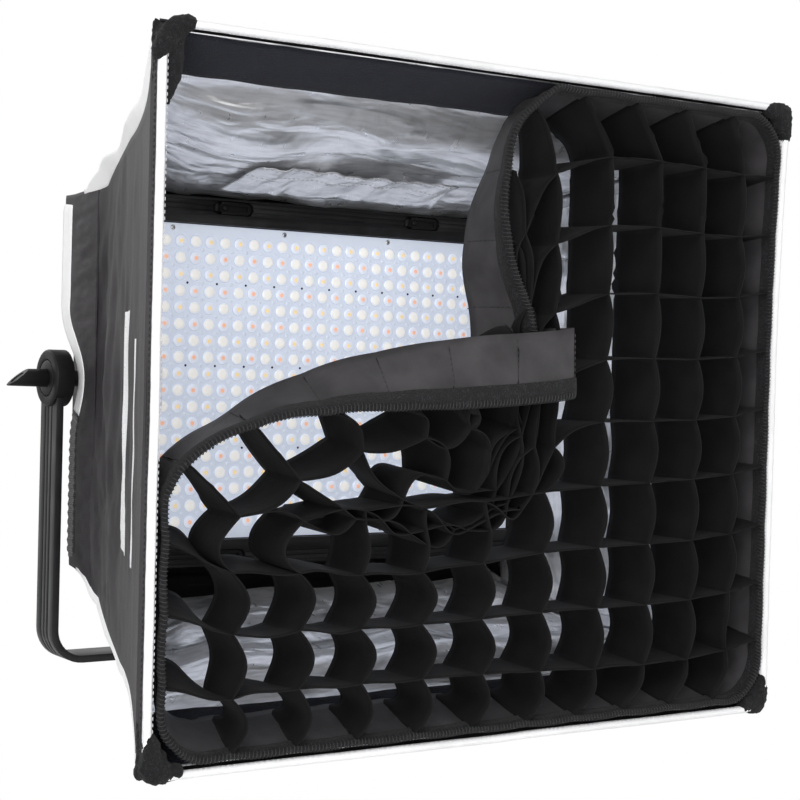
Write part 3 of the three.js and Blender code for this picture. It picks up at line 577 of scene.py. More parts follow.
def bind_collar(rear_row, z, outward):
    """White tape along the upper rear edge and round the notches, black elastic along the lower one."""
    width = mean_round(np.where(z > 40 * MM, 15 * MM, 10 * MM), 10)
    edge = mean_round(rear_row, 6)
    inward = unit(np.cross(outward, unit(np.roll(edge, -1, 0) - np.roll(edge, 1, 0))))
    inward *= np.sign(1e-9 - inward[:, 1:2])
    white = z > -24 * MM
    for name, chosen, shader, ripple, home in (
        ("collar_rear_tape", white, WHITE, 0.0, ("softbox", "white_binding", "collar_binding")),
        ("collar_elastic", ~white, ELASTIC, 0.5 * MM, ("softbox", "black_nylon")),
    ):
        order = np.nonzero(chosen)[0]
        jump = np.nonzero(np.diff(order) > 1)[0]
        if len(jump):
            order = np.roll(order, -(jump[0] + 1))
        lift = 1.9 * MM + ripple * np.sin(np.arange(len(order)) * 1.9)
        line = edge[order] + outward[order] * lift[:, None]
        rows = line + inward[order] * width[order][:, None] * np.linspace(-0.06, 1, 9)[:, None, None]
        sheet_piece(name, shader, rows, 0.9 * MM, home)


def mean_round(values, reach):
    """The running mean along a closed loop, over so many neighbours each way."""
    return sum(np.roll(values, n, 0) for n in range(-reach, reach + 1)) / (2 * reach + 1)


def straight_corner(t, k, inset=0.0):
    """The (n, 3) line of a corner of the fabric tube, with the slack its lower corners hang by."""
    t = np.atleast_1d(np.array(t, float))
    c = np.clip(t, 0, 1)
    sx, sz = CORNER_SIGNS[k]
    half = lerp(FRONT_HALF[:, None], REAR_HALF[:, None], c) - SAG * np.sin(math.pi * c) - inset
    slack = UPPER_RISE(t) if sz > 0 else -LOWER_DROP(t)
    x = lerp(MOUTH_X, 0, c) + sx * half[0]
    z = lerp(MOUTH_Z, PIVOT_Z, c) + sz * half[1] + slack
    return np.stack([x, tube_y(t), z], 1)


def tube_side(side, t, s, inset=0.0, reach=0.0):
    """A (rows, columns, 3) grid of one side. t runs from the mouth back, s from corner to corner."""
    first, last = (straight_corner(t, k, inset) for k in SIDES[side])
    along = unit(last - first)
    slack = reach * (1.0 if side in ("left", "right") else 0.7)
    for k, line, way in zip(SIDES[side], (first, last), (1, -1)):
        line += way * slack * along * (UPPER_REACH if CORNER_SIGNS[k][1] > 0 else LOWER_REACH)(t)[:, None]
    return bow_right(first[:, None] + (last - first)[:, None] * s[None, :, None])


def field(a, b, c, octaves, seed):
    """Fractal noise over three coordinates that are broadcast together."""
    return waves(np.stack(np.broadcast_arrays(a, b, c), -1), 1.0, octaves, seed)


def fold_field(t, s, seed):
    """Folds that run across the slope, fanned out towards the mouth's corners."""
    fan = t[:, None] + 0.42 * (s[None] - 0.5) ** 2
    return field(fan * 9.0, s[None] * 2.4, seed, 3, seed)


def crease_field(t, s, seed):
    """Sharp diagonal tension creases that start at the collar's lower end."""
    across, along = (t[:, None] * 1.3 + s[None] * 1.9) * 7, (t[:, None] - s[None]) * 2.2
    return 1 - np.abs(field(across, along, seed, 3, seed)) * 2


def panel_offset(side, t, s):
    """How far the outer cloth stands out from the flat side."""
    seed = {"left": 1.7, "right": 4.2, "top": 7.9, "bottom": 9.4}[side]
    edge = np.clip(4 * s * (1 - s), 0, 1)[None] ** 0.5
    near_collar = smoothstep((t - 0.25) / 0.7)[:, None]
    hold = (smoothstep(t / 0.12) * smoothstep((SEAM_T + 0.04 - t) / 0.1))[:, None]
    folds = fold_field(t, s, seed) * lerp(0.8, 4.2, near_collar)
    if side in ("left", "right"):
        from_low = s if side == "right" else 1 - s
        low_end = np.clip(1 - from_low / 0.45, 0, 1)[None]
        folds = folds + crease_field(t, s, seed) * 2.2 * low_end * near_collar
    bow = -3.0 * np.sin(math.pi * np.clip(t, 0, 1))[:, None] * edge
    hem = 0.5 * np.exp(-((t[:, None] - 0.045) / 0.008) ** 2)
    return (folds * edge * hold + bow + hem)[..., None] * MM * OUT[side]


def build_shell():
    t = np.linspace(0.0, SEAM_T + 0.04, 64)
    s = np.linspace(0, 1, 72)
    for side in SIDES:
        rows = tube_side(side, t, s, reach=1.0) + panel_offset(side, t, s)
        shader = PRINTED if side == "left" else NYLON
        home = ("softbox", "black_nylon", f"shell_{side}")
        sheet_piece(f"shell_cloth_{side}", shader, rows, 0.8 * MM, home, offset=-1.0)


def build_gussets():
    """White cloth over each corner, puffed out in lobes."""
    t = np.linspace(0.02, 1.17, 90)
    share = np.linspace(0, 1, 14)[None, :, None]
    for k, name in enumerate(CORNER_NAMES):
        sx, sz = CORNER_SIGNS[k]
        lobe, reach = (UPPER_LOBE, UPPER_REACH) if sz > 0 else (LOWER_LOBE, LOWER_REACH)
        lobe, reach = lobe(t)[:, None], reach(t)[:, None]
        corner = tube_corner(t, k)
        level, down = np.array([-sx, 0, 0]), np.array([0, 0, -sz])
        on_side = corner + down * (reach + 1.5 * MM) + level * 0.4 * MM
        on_level = corner + level * (0.7 * reach + 1.5 * MM) + down * 0.4 * MM
        ripple = waves(corner, 30 * MM, 2, k + 1.0)[:, None] * 0.5 * MM
        peak = corner - unit(level + down) * (lobe + ripple)
        pull = 2 * peak - (on_side + on_level) / 2
        curve = (1 - share) ** 2 * on_side[:, None] + share**2 * on_level[:, None]
        rows = curve + 2 * share * (1 - share) * pull[:, None]
        home = ("softbox", "white_binding", f"edge_binding_{name}")
        sheet_piece(f"corner_gusset_{name}", WHITE, rows, 0.7 * MM, home)


def liner_offset(side, t, s):
    seed = {"left": 21.0, "right": 24.0, "top": 27.5, "bottom": 31.0}[side]
    edge = np.clip(4 * s * (1 - s) * 2.2, 0, 1)[None]
    broad = field(t[:, None] * 3.2 + 0.9 * np.abs(s[None] - 0.5), s[None] * 3.4, seed, 2, seed)
    small = field(t[:, None] * 9, s[None] * 12, seed, 3, seed + 3)
    hold = (smoothstep((t - 0.2) / 0.14) * smoothstep((1.0 - t) / 0.1))[:, None]
    sink = (9.5 + 7.0 * broad + 1.2 * small) * hold * edge
    return -np.clip(sink, 0, 17)[..., None] * MM * OUT[side]


def build_liner():
    t = np.linspace(0.01, 0.96, 70)
    s = np.linspace(0, 1, 96)
    batch = Batch()
    for side in SIDES:
        add_sheet(batch, tube_side(side, t, s, inset=3.2 * MM) + liner_offset(side, t, s))
    piece = batch.build("silver_lining", FOIL)
    solidify(piece, 0.4 * MM)
    finish_piece(piece, "softbox", "silver_fabric", "silver_liner")

    seams = Batch()
    t = np.linspace(0.2, 0.95, 60)
    bow = (np.sin(math.pi * (t - 0.2) / 0.75) * 7 * MM)[:, None]
    for k, (sx, sz) in enumerate(CORNER_SIGNS):
        for inward in (np.array([-sx, 0, 0]), np.array([0, 0, -sz])):
            path = tube_corner(t, k, 5.5 * MM) + inward * (bow + 3 * MM)
            add_sweep(seams, path, (0, 0, 1), circle(1.1 * MM, 8))
    finish_piece(seams.build("lining_seam_cords", SEAM_CORD), "softbox", "silver_fabric")


def build_rim_tape():
    """The band of loop pile inside the mouth."""
    t = np.linspace(0.012, 0.19, 14)
    s = np.linspace(0, 1, 90)
    batch = Batch()
    for side in SIDES:
        rows = tube_side(side, t, s, inset=4.6 * MM)
        rows = rows + waves(rows, 45 * MM, 2, 3.0)[..., None] * 0.8 * MM * OUT[side]
        rows[-1, :, 1] += waves(rows[-1], 14 * MM, 2, 8.0) * MM
        add_sheet(batch, rows)
    piece = batch.build("rim_loop_tape", PILE)
    solidify(piece, 1.4 * MM)
    finish_piece(piece, "softbox", "velcro", "rim_velcro")


def build_flap():
    """The silver flap that hangs over the lamp's top edge."""
    low, high = span("silver_flap")
    u, v = np.meshgrid(np.linspace(0, 1, 90), np.linspace(0, 1, 22))
    x = lerp(low[0] + 12 * MM, high[0] - 8 * MM, u) + 9 * MM * v * (2 * u - 1)
    y = lerp(low[1], high[1], v) + field(x / 0.03, 0.0, 4.0, 2, 6.0) * 3.0 * MM * (1 - v)
    ripple = field(x / 0.022, lerp(low[1], high[1], v) / 0.05, 0.0, 3, 5.0) * 3.2 * MM
    z = high[2] - 1 * MM - (high[2] - low[2]) * v**1.5 + ripple * (0.35 + 0.65 * (1 - v))
    rows = np.stack([x, y, z], -1)
    sheet_piece("silver_flap_cloth", FLAP_FOIL, rows, 0.8 * MM, ("softbox", "silver_fabric", "silver_flap"))
    seams = Batch()
    for index in (2, 9):
        add_stitches(seams, rows[index], (0, -0.5, 0.9), radius=0.4 * MM, lift=-0.6 * MM)
    finish_piece(seams.build("silver_flap_stitching", GREY_THREAD), "softbox", "silver_fabric")


# ---- Collar ---------------------------------------------------------------------------------------

NOTCH = {"depth": 36 * MM, "upper": 50 * MM, "lower": 40 * MM, "low_rear": 6 * MM}


def collar_loop(spacing):
    """The collar's perimeter as (x, z) points from the lower left corner round, and the outward way."""
    points, ways = [], []
    for side, (a, b) in SIDES.items():
        first, last = np.array(CORNER_SIGNS[a]) * REAR_HALF, np.array(CORNER_SIGNS[b]) * REAR_HALF
        count = round(np.linalg.norm(last - first) / spacing)
        points.append(lerp(first, last, (np.arange(count) / count)[:, None]))
        ways.append(np.broadcast_to(OUT[side], (count, 3)))
    return np.concatenate(points), np.concatenate(ways)


def collar_rear(points):
    """Where the collar's rear edge lies, for each point of its perimeter."""
    x, z = points.T
    on_side = np.abs(np.abs(x) - REAR_HALF[0]) < 1e-6
    notch = np.where(z >= 0, NOTCH["upper"], NOTCH["lower"])
    dip = 0.5 * (1 + np.cos(math.pi * np.clip(np.abs(z) / notch, 0, 1)))
    flat = np.where(z >= 0, COLLAR_END, NOTCH["low_rear"])
    return np.where(on_side, lerp(flat, COLLAR_END - NOTCH["depth"], dip), flat)


def build_collar():
    points, outward = collar_loop(2.0 * MM)
    rear, z = collar_rear(points), points[:, 1]
    calm = 1 - 0.5 * np.exp(-(REAR_HALF - np.abs(points)).max(1) / (12 * MM))
    rows = []
    for g in np.linspace(0, 1, 26):
        y = lerp(tube_y(SEAM_T), rear, g)
        t = (y - FABRIC_FRONT) / (FABRIC_REAR - FABRIC_FRONT)
        slack = np.where(z >= 0, UPPER_RISE(t), -LOWER_DROP(t)) * np.clip(np.abs(z) / REAR_HALF[1], 0, 1) ** 2
        base = np.stack([points[:, 0], y, z + slack + PIVOT_Z], 1)
        gather = waves(base * np.array([1, 0.25, 1]), 13 * MM, 3, 12.0) * 1.6 * MM
        gather *= smoothstep((rear - y - 12 * MM) / (15 * MM))
        hold = 0.25 + 0.75 * math.sin(math.pi * min(g * 1.1, 1.0))
        puff = 1.2 * MM * math.sin(math.pi * g)
        rows.append(base + outward * ((gather * hold + puff) * calm)[:, None])
    home = ("softbox", "black_nylon", "collar")
    sheet_piece("collar_cloth", NYLON, np.array(rows), 1.0 * MM, home, offset=-1.0, closed=True)
    bind_collar(rows[-1], z, outward)


# ---- The mouth's edge -----------------------------------------------------------------------------


def mouth_runs():
    """Each edge of the mouth as (name, first point, last point, way out) along the rod's middle."""
    y = MOUTH_Y + SLEEVE_RADIUS
    w, h = MOUTH_HALF - SLEEVE_RADIUS
    corners = [np.array([MOUTH_X + sx * w, y, MOUTH_Z + sz * h]) for sx, sz in CORNER_SIGNS]
    return [(side, corners[a], corners[b], OUT[side]) for side, (a, b) in SIDES.items()]


ROD_RADIUS = 1.9 * MM
ROD_ENDS = (0.014, 0.986)
SLEEVE_TAB = ((1.5, -0.55), (4.5, -0.65), (8.0, -0.75), (11.0, -0.85))  # depth and lift in millimetres

# A corner strap's lanes: knots as millimetres along the mouth's level and upright edges with the way back
# between, how many lumps, their widths and their thickness.
STRAP_TAIL = ([(2, 7, 4), (2, 7, 22), (2, 10, 42)], 14, (4.0, 3.4, 1.6), 2.8)
COVERED_WRAP = (
    ([(21, 0, 5), (7, 0, 7), (5, 0, 24)], 20, (5.6, 8.2, 5.0), 5.2),
    ([(10, 2, 8), (10, 2, 13.2), (7, 2, 22)], 14, (8.0, 7.0, 1.5), 3.6),
    STRAP_TAIL,
)
BARE_WRAP = (
    ([(19, 0, 2), (8, 0, 8), (0, 0, 21)], 20, (5.0, 7.0, 5.0), 5.2),
    ([(10, 2, 8), (10, 2, 30), (7, 2, 50)], 14, (8.0, 7.0, 1.5), 3.6),
    STRAP_TAIL,
)


def build_sleeves():
    back = np.array([0, 1.0, 0])
    ring = circle(1.0, 18)
    for side, a, b, out in mouth_runs():
        radius = SLEEVE_RADIUS * (1.3 if side == "right" else 1.0)
        trim = 13 * MM / np.linalg.norm(b - a)
        path = lerp(a, b, np.linspace(trim, 1 - trim, 150)[:, None])
        wander = waves(path, 90 * MM, 2, 2.0)[:, None] * 0.5 * MM
        path = bow_right(path) + out * (wander + 0.8 * MM - (radius - SLEEVE_RADIUS))
        around = path[:, None] + 0.004 * np.pad(ring, ((0, 0), (0, 1)))
        lumps = 1 + 0.05 * waves(around, 6 * MM, 2, 4.0)
        batch = Batch()
        add_sweep(batch, path, out, ring * (radius * lumps)[..., None] * np.array([1.0, 0.82]))
        tab = [path + back * depth * MM + out * (radius * 0.9 + lift * MM) for depth, lift in SLEEVE_TAB]
        add_sheet(batch, np.array(tab), slot=1)
        piece = batch.build(f"mouth_sleeve_{side}", WHITE, NYLON)
        finish_piece(piece, "softbox", "white_binding", f"edge_sleeve_{side}")

        rod = Batch()
        line = bow_right(lerp(a, b, np.linspace(*ROD_ENDS, 40)[:, None])) + out * 0.4 * MM
        tip = np.clip(np.minimum(np.arange(40), np.arange(40)[::-1]) + 2.2, 0, 3)[:, None, None] / 3
        add_sweep(rod, line, out, circle(ROD_RADIUS, 12) * tip)
        finish_piece(rod.build(f"mouth_rod_{side}", STEEL), "softbox", "steel", f"frame_rod_{side}")

        seam = Batch()
        outer = path + back * (radius + 1.2 * MM) + out * (radius * 0.9 - 0.45 * MM)
        add_stitches(seam, outer, out, radius=0.3 * MM, slot=1)
        inner = path - (0.55 * back + 0.85 * out) * radius
        add_stitches(seam, inner, -0.55 * back - 0.8 * out, radius=0.28 * MM)
        piece = seam.build(f"mouth_stitching_{side}", GREY_THREAD, DARK_THREAD)
        finish_piece(piece, "softbox", "white_binding")


def blob(points, sizes, name, shader, seed):
    """A soft lump around a run of points, welded into one skin and roughened."""
    flats, rises = circle(1.0, 14), np.linspace(-math.pi / 2 + 0.05, math.pi / 2 - 0.05, 9)
    ball = np.array([[(math.cos(r) * x, math.cos(r) * y, math.sin(r)) for x, y in flats] for r in rises])
    batch = Batch()
    for centre, size in zip(points, sizes):
        add_tube(batch, centre + ball * size)
    raw = batch.build(name + "_raw", shader)
    modifier(raw, "REMESH", mode="VOXEL", voxel_size=1.5 * MM)
    modifier(raw, "SMOOTH", factor=0.6, iterations=6)
    mesh = settled_mesh(raw)
    co = vertex_values(mesh, "co")
    fuzz = (waves(co, 3.2 * MM, 3, seed) + waves(co, 11 * MM, 2, seed + 2)) * 0.9 * MM
    mesh.vertices.foreach_set("co", (co + vertex_values(mesh, "normal") * fuzz[:, None]).ravel())
    mesh.materials.clear()
    mesh.materials.append(shader.material)
    return link_mesh(mesh, name)


def build_corner_wraps():
    """Looped straps over the mouth's corners, with tails inside and behind the side sleeve."""
    for k, name in enumerate(CORNER_NAMES):
        sx, sz = CORNER_SIGNS[k]
        half = MOUTH_HALF * CORNER_SIGNS[k]
        corner = bow_right(np.array([MOUTH_X + half[0], MOUTH_Y + SLEEVE_RADIUS, MOUTH_Z + half[1]]))
        ways = np.array([(-sx, 0, 0), (0, 1, 0), (0, 0, -sz)]) * MM
        points, sizes = [], []
        for knots, count, widths, thick in BARE_WRAP if name == "upper_left" else COVERED_WRAP:
            path = spline(corner + np.array(knots) @ ways, count)
            half = np.interp(np.linspace(0, 1, len(path)), (0, 0.5, 1), widths)
            points.extend(path)
            sizes.extend(np.stack([half, 0 * half + thick, half], 1) * MM)
        piece = blob(points, sizes, f"corner_strap_{name}", STRAP, k + 1.0)
        finish_piece(piece, "softbox", "velcro", f"corner_wrap_{name}")


# ---- The light source -----------------------------------------------------------------------------

LENS_PITCH = 12 * MM
LENS_COUNT = (27, 18)


def add_dome(batch, centre, radius, height, slot, sides=14):
    """A low dome that faces forward. Its texture coordinate is 0 at the middle and 1 at the rim."""
    shares, rises = (1.0, 0.92, 0.62, 0.3), (0.0, 0.55, 0.92, 0.99)
    ring = circle(radius, sides)
    points = [centre + np.array([x * s, -height * r, z * s]) for s, r in zip(shares, rises) for x, z in ring]
    points.append(centre + np.array([0, -height, 0]))
    faces, uvs = [], []
    for row, (u, inner) in enumerate(zip(shares, (*shares[1:], 0.0))):
        for k in range(sides):
            a, b = row * sides + k, row * sides + (k + 1) % sides
            inside = (b + sides, a + sides) if inner else (len(points) - 1,)
            faces.append((a, b, *inside))
            uvs.append([(u, 0), (u, 0)] + [(inner, 0)] * len(inside))
    batch.add(points, faces, uvs, slot)


def build_lenses():
    """The lens sheet's domes, amber, cream and orange in turn, with small domes and pins between."""
    low, high = span("lens_plate")
    columns, rows = LENS_COUNT
    middle = (low + high) / 2
    batch = Batch()
    for row in range(rows):
        for column in range(columns):
            x = middle[0] + (column - (columns - 1) / 2) * LENS_PITCH
            z = middle[2] + ((rows - 1) / 2 - row) * LENS_PITCH
            centre = np.array([x, low[1] + 0.05 * MM, z])
            add_dome(batch, centre, 4.9 * MM, 1.5 * MM, row % 2 + column % 2)
            if row < rows - 1 and column < columns - 1:
                between = centre + np.array([0.5, 0, -0.5]) * LENS_PITCH
                radius, slot = (0.9 * MM, 4) if row % 5 == 2 and column % 2 == 0 else (1.6 * MM, 3)
                add_dome(batch, between, radius, 0.6 * MM, slot, sides=8)
    piece = batch.build("lens_domes", LENS_AMBER, LENS_CREAM, LENS_RED, LENS_SHEET, PLASTIC)
    finish_piece(piece, "head", "clear_lens")


def add_screw(batch, centre, radius):
    """A low screw head seen from the front, with a cross in it as the second material."""
    add_dome(batch, centre, radius, 0.35 * radius, 0, sides=16)
    face = centre + np.array([0, -0.36 * radius, 0])
    for turn in (math.pi / 4, -math.pi / 4):
        along = np.array([math.cos(turn), 0, math.sin(turn)]) * radius * 0.55
        across = np.array([-math.sin(turn), 0, math.cos(turn)]) * radius * 0.1
        bar = [face + along + across, face - along + across, face - along - across, face + along - across]
        batch.add(bar, [(0, 1, 2, 3)], slot=1)


def build_screws():
    """Screws along the lens sheet's edge and on each latch."""
    low, high = span("lens_plate")
    batch = Batch()
    for x in np.linspace(low[0] + 30 * MM, high[0] - 30 * MM, 4):
        for z in (low[2] + 3.2 * MM, high[2] - 3.2 * MM):
            add_screw(batch, np.array([x, low[1], z]), 1.9 * MM)
    finish_piece(batch.build("lens_sheet_screws", STEEL, PLASTIC), "head", "steel")
    for body in (f"latch_{row}_{side}" for row in ("upper", "lower") for side in ("left", "right")):
        low, high = span(body)
        batch = Batch()
        add_screw(batch, np.array([low[0] + 8.8 * MM, low[1], (low[2] + high[2]) / 2]), 2.4 * MM)
        finish_piece(batch.build(f"{body}_screw", PLASTIC, PAINT), body, "black_plastic")


# ---- Grid -----------------------------------------------------------------------------------------

COLUMNS, ROWS = 11, 10
CELL = 47.5 * MM
DEPTH_STEPS, WALL_STEPS = 4, 6
GRID_DEPTH = 46 * MM
RIM_FRONT = MOUTH_HALF - 11 * MM
RIM_REAR = RIM_FRONT - np.array([14, 16]) * MM
RIM_ROUND = 30 * MM
LEFT_HELD, LEFT_RIM = 165 * MM, 150 * MM
TOP_HELD, TOP_RIM_END = 214 * MM, 38 * MM
PEEL_LIFT = 110 * MM
LEFT_PEEL = [(-245.5, 0, -58), (-232, -2, -35), (-192, -7, -14), (-135, -11, -5), (-41, -13, -1),
             (25, -14, 4), (47, -13, 7)]
LEFT_TURN = [(0, 0), (0.2, 3), (0.3, 18), (0.4, 32), (0.5, 45), (0.6, 57), (0.7, 71), (0.8, 83), (1, 88)]
TOP_TURN = [(0, -3), (0.1, -15), (0.2, -21), (0.3, -18), (0.4, -10), (0.5, 0), (0.6, 9), (0.8, 30), (1, 50)]
TOP_PEEL = [(38, 0, 213), (10, 2, 190), (0, 4, 153), (2, 2, 105), (21, -1, 56), (29, 3, 22)]
ROW_SAG = profile((0, 0), (1, 14), (2, 20), (3, 25), (4, 34), (5, 50), (6, 56), (10, 56))
HELD_SAG = profile((0, 0), (1, 17), (5, 9.4), (9, 1.9), (10, 0))
COLUMN_PULL = profile((0, 0), (4, 2), (5, 6), (6, 15), (7, 20.5), (8, 21), (9, 18), (10, 11.5), (11, 0))
# The columns laid flat, with the slack taken out on the right.
COLUMN_WIDTHS = np.array([47.5] * 5 + [50, 49, 46, 42, 39, 34]) * MM


class Lattice:
    """The grid's walls as one mesh of quads, in steps along the width, the height and the depth."""

    def __init__(self):
        self.places, self.keys, self.faces, self.is_border = {}, [], [], []
        for i in range(COLUMNS + 1):
            self.wall([(i * WALL_STEPS, v) for v in range(ROWS * WALL_STEPS + 1)], i in (0, COLUMNS))
        for j in range(ROWS + 1):
            self.wall([(u, j * WALL_STEPS) for u in range(COLUMNS * WALL_STEPS + 1)], j in (0, ROWS))
        keys = np.array(self.keys, float)
        self.u, self.v = keys[:, 0] / WALL_STEPS, keys[:, 1] / WALL_STEPS
        self.depth = keys[:, 2] / DEPTH_STEPS

    def at(self, u, v, k):
        key = (u, v, k)
        if key not in self.places:
            self.places[key] = len(self.keys)
            self.keys.append(key)
        return self.places[key]

    def wall(self, line, is_border):
        for (u0, v0), (u1, v1) in zip(line, line[1:]):
            for k in range(DEPTH_STEPS):
                self.faces.append((self.at(u0, v0, k), self.at(u1, v1, k),
                                   self.at(u1, v1, k + 1), self.at(u0, v0, k + 1)))
                self.is_border.append(is_border)

    def rest(self):
        """The cloth laid out square, each wall bowed slightly so that it knows which way to give."""
        taut = smoothstep((self.u - 5) / 3)
        edges = np.concatenate([[0], np.cumsum(COLUMN_WIDTHS)])
        x = np.interp(self.u, np.arange(COLUMNS + 1), edges) - COLUMNS * CELL / 2
        z = (self.v - ROWS / 2) * CELL * (1 - 0.06 * taut)
        points = np.stack([x, self.depth * GRID_DEPTH, z], 1)
        in_u, in_v = self.u % 1, self.v % 1
        points[:, 0] += 6 * MM * np.sin(math.pi * in_v) * (1 - 0.8 * self.depth)
        points[:, 2] += 1.5 * MM * np.sin(math.pi * in_u) * (1 - 0.8 * self.depth)
        return points + np.random.default_rng(3).normal(0, 0.15 * MM, points.shape)


def rim_points(x, z, depth):
    """Front points on the mouth's inner rim, with its corners rounded, carried back along the slope."""
    centre = RIM_FRONT - RIM_ROUND
    dx, dz = np.abs(x) - centre[0], np.abs(z) - centre[1]
    in_corner = (dx > 0) & (dz > 0)
    length = np.hypot(dx, dz) + 1e-9
    x = np.where(in_corner, np.sign(x) * (centre[0] + dx / length * RIM_ROUND), x)
    z = np.where(in_corner, np.sign(z) * (centre[1] + dz / length * RIM_ROUND), z)
    shrink = 1 - depth[:, None] * (1 - RIM_REAR / RIM_FRONT)
    return np.stack([x * shrink[:, 0], depth * GRID_DEPTH, z * shrink[:, 1]], 1)


def peel(path, share, turns, depth, level, risen):
    """Points of a peeled border, whose depth turns from the level way to the risen way along it."""
    share = np.clip(share, 0, 1)
    turn = np.radians(np.interp(share, *np.array(turns).T))[:, None]
    way = np.cos(turn) * np.array(level) + np.sin(turn) * np.array(risen)
    return at_length(path, share * arc_lengths(path)[-1]) + way * (depth * GRID_DEPTH)[:, None]


def place_border(lattice):
    """Where the border is held, on the rim or along its peeled run, and how it is lifted on the way."""
    u, v, depth = lattice.u, lattice.v, lattice.depth
    left, right, bottom, top = u == 0, u == COLUMNS, v == 0, v == ROWS
    target = lattice.rest()
    w, h = RIM_FRONT
    for side in (bottom, right):
        x, z = (u[side] / COLUMNS * 2 - 1) * w, (v[side] / ROWS * 2 - 1) * h
        target[side] = rim_points(x, z, depth[side])

    top_path, left_path = (spline(np.array(knots) * MM, 400) for knots in (TOP_PEEL, LEFT_PEEL))
    top_free, left_free = arc_lengths(top_path)[-1], ROWS * CELL - LEFT_HELD
    s = (COLUMNS - u[top]) * CELL
    held = rim_points(w - s / TOP_HELD * (w - TOP_RIM_END), np.full_like(s, h), depth[top])
    free = peel(top_path, (s - TOP_HELD) / top_free, TOP_TURN, depth[top], (0, 1, 0), (-1, 0, 0))
    target[top] = np.where((s <= TOP_HELD)[:, None], held, free)
    s = v[left] * CELL
    held = rim_points(np.full_like(s, -w), -h + s / LEFT_HELD * LEFT_RIM, depth[left])
    free = peel(left_path, (s - LEFT_HELD) / left_free, LEFT_TURN, depth[left], (0.10, 1, 0), (0, 0, 1))
    target[left] = np.where((s <= LEFT_HELD)[:, None], held, free)

    from_right = (COLUMNS - u) * CELL
    held_top = top & (from_right <= TOP_HELD + top_free)
    past_top = (from_right - TOP_HELD) / (COLUMNS * CELL - TOP_HELD)
    past_left = (v * CELL - LEFT_HELD) / left_free
    lift = np.zeros_like(target)
    for side, share in ((left, past_left), (held_top, past_top)):
        lift[side, 1] = -PEEL_LIFT * np.clip(share[side], 0, 1)
    return target, bottom | right | left | held_top, lift


def guide_crossings(lattice, target, pinned):
    """Draws each crossing softly to where it hangs: near even on the held side, sagging on the peeled one."""
    u, v, depth = lattice.u, lattice.v, lattice.depth
    crossing = (u % 1 == 0) & (v % 1 == 0) & ~pinned
    held_side = smoothstep((u - 4.2) / 2.2)
    firm = 0.34 * smoothstep((u - 5.2) / 1.6) * smoothstep((11 - v) / 3)
    low = 0.34 * smoothstep((5.6 - v) / 1.6)
    guide = np.where(crossing, np.maximum(firm, low), 0.0)
    shrink = 1 - depth[:, None] * (1 - RIM_REAR / RIM_FRONT)
    pull_right = COLUMN_PULL(u) * (1 - 0.3 * depth)
    lean_left = 9 * MM * depth * smoothstep(u / 2) * (1 + 0.25 * held_side)
    x = (u / COLUMNS * 2 - 1) * RIM_FRONT[0] * shrink[:, 0] + pull_right - lean_left
    sag = lerp(ROW_SAG(v), HELD_SAG(v), held_side) * lerp(1.0, 0.7, depth)
    z = (v / ROWS * 2 - 1) * RIM_FRONT[1] * shrink[:, 1] - sag
    hung = np.stack([x, depth * GRID_DEPTH, z], 1)
    target[guide > 0] = hung[guide > 0]
    return guide


def tuck_behind(points, lattice):
    """Moves cell walls that came out through the peeled border back to its inner side."""
    reach = 8
    at = lattice.places
    wide, high = COLUMNS * WALL_STEPS, ROWS * WALL_STEPS
    moved = points.copy()
    runs = [
        ([(0, v) for v in range(int(LEFT_HELD / CELL * WALL_STEPS), high + 1)], (1, 0), (0, -1)),
        ([(u, high) for u in range(0, int((COLUMNS - TOP_HELD / CELL) * WALL_STEPS))], (0, -1), (-1, 0)),
    ]
    for run, inward, walk_way in runs:
        for u, v in run:
            behind = (min(max(u - walk_way[0], 0), wide), min(max(v - walk_way[1], 0), high))
            ahead = (min(max(u + walk_way[0], 0), wide), min(max(v + walk_way[1], 0), high))
            for k in range(DEPTH_STEPS + 1):
                base = points[at[(u, v, k)]]
                along = points[at[(*ahead, k)]] - points[at[(*behind, k)]]
                down = points[at[(u, v, min(k + 1, DEPTH_STEPS))]] - points[at[(u, v, max(k - 1, 0))]]
                outward = unit(np.cross(down, along))
                for n in range(1, reach + 1):
                    key = (u + inward[0] * n, v + inward[1] * n, k)
                    if key not in at:
                        continue
                    i = at[key]
                    limit = -(0.8 + 0.9 * n) * MM
                    stands = float((moved[i] - base) @ outward)
                    if stands > limit:
                        moved[i] += outward * (limit - stands) * float(1 - smoothstep((n - 4) / 5))
    return moved


def keep_behind_strip(points, lattice):
    """Moves whatever hangs in front of the peeled strip's level run back behind it."""
    run = [(0, v) for v in range(int(0.62 * ROWS * WALL_STEPS), ROWS * WALL_STEPS + 1)]
    strip = np.array([[points[lattice.places[(u, v, k)]] for k in range(DEPTH_STEPS + 1)] for u, v in run])
    moved = points.copy()
    for i, (u, v, k) in enumerate(lattice.keys):
        x, y, z = moved[i]
        if u == 0 or not strip[0, 0, 0] < x < strip[-1, 0, 0] + 4 * MM:
            continue
        line = strip[np.argmin(np.abs(strip[:, 0, 0] - x))]
        if line[0, 2] - 4 * MM < z < line[-1, 2] + 6 * MM:
            moved[i][1] = max(y, np.interp(z, line[:, 2], line[:, 1]) + 2.5 * MM)
    return moved


def relax(points, faces, held, rounds, share=1.0):
    """Free points settle towards the mean of their neighbours at the same depth."""
    edges = np.array([pair for a, b, c, d in faces for pair in ((a, b), (d, c))])
    for _ in range(rounds):
        total, count = np.zeros_like(points), np.zeros(len(points))
        for a, b in (edges.T, edges.T[::-1]):
            np.add.at(total, a, points[b])
            np.add.at(count, a, 1)
        moved = lerp(points, total / count[:, None], share)
        points = np.where(held[:, None], points, moved)
    return points


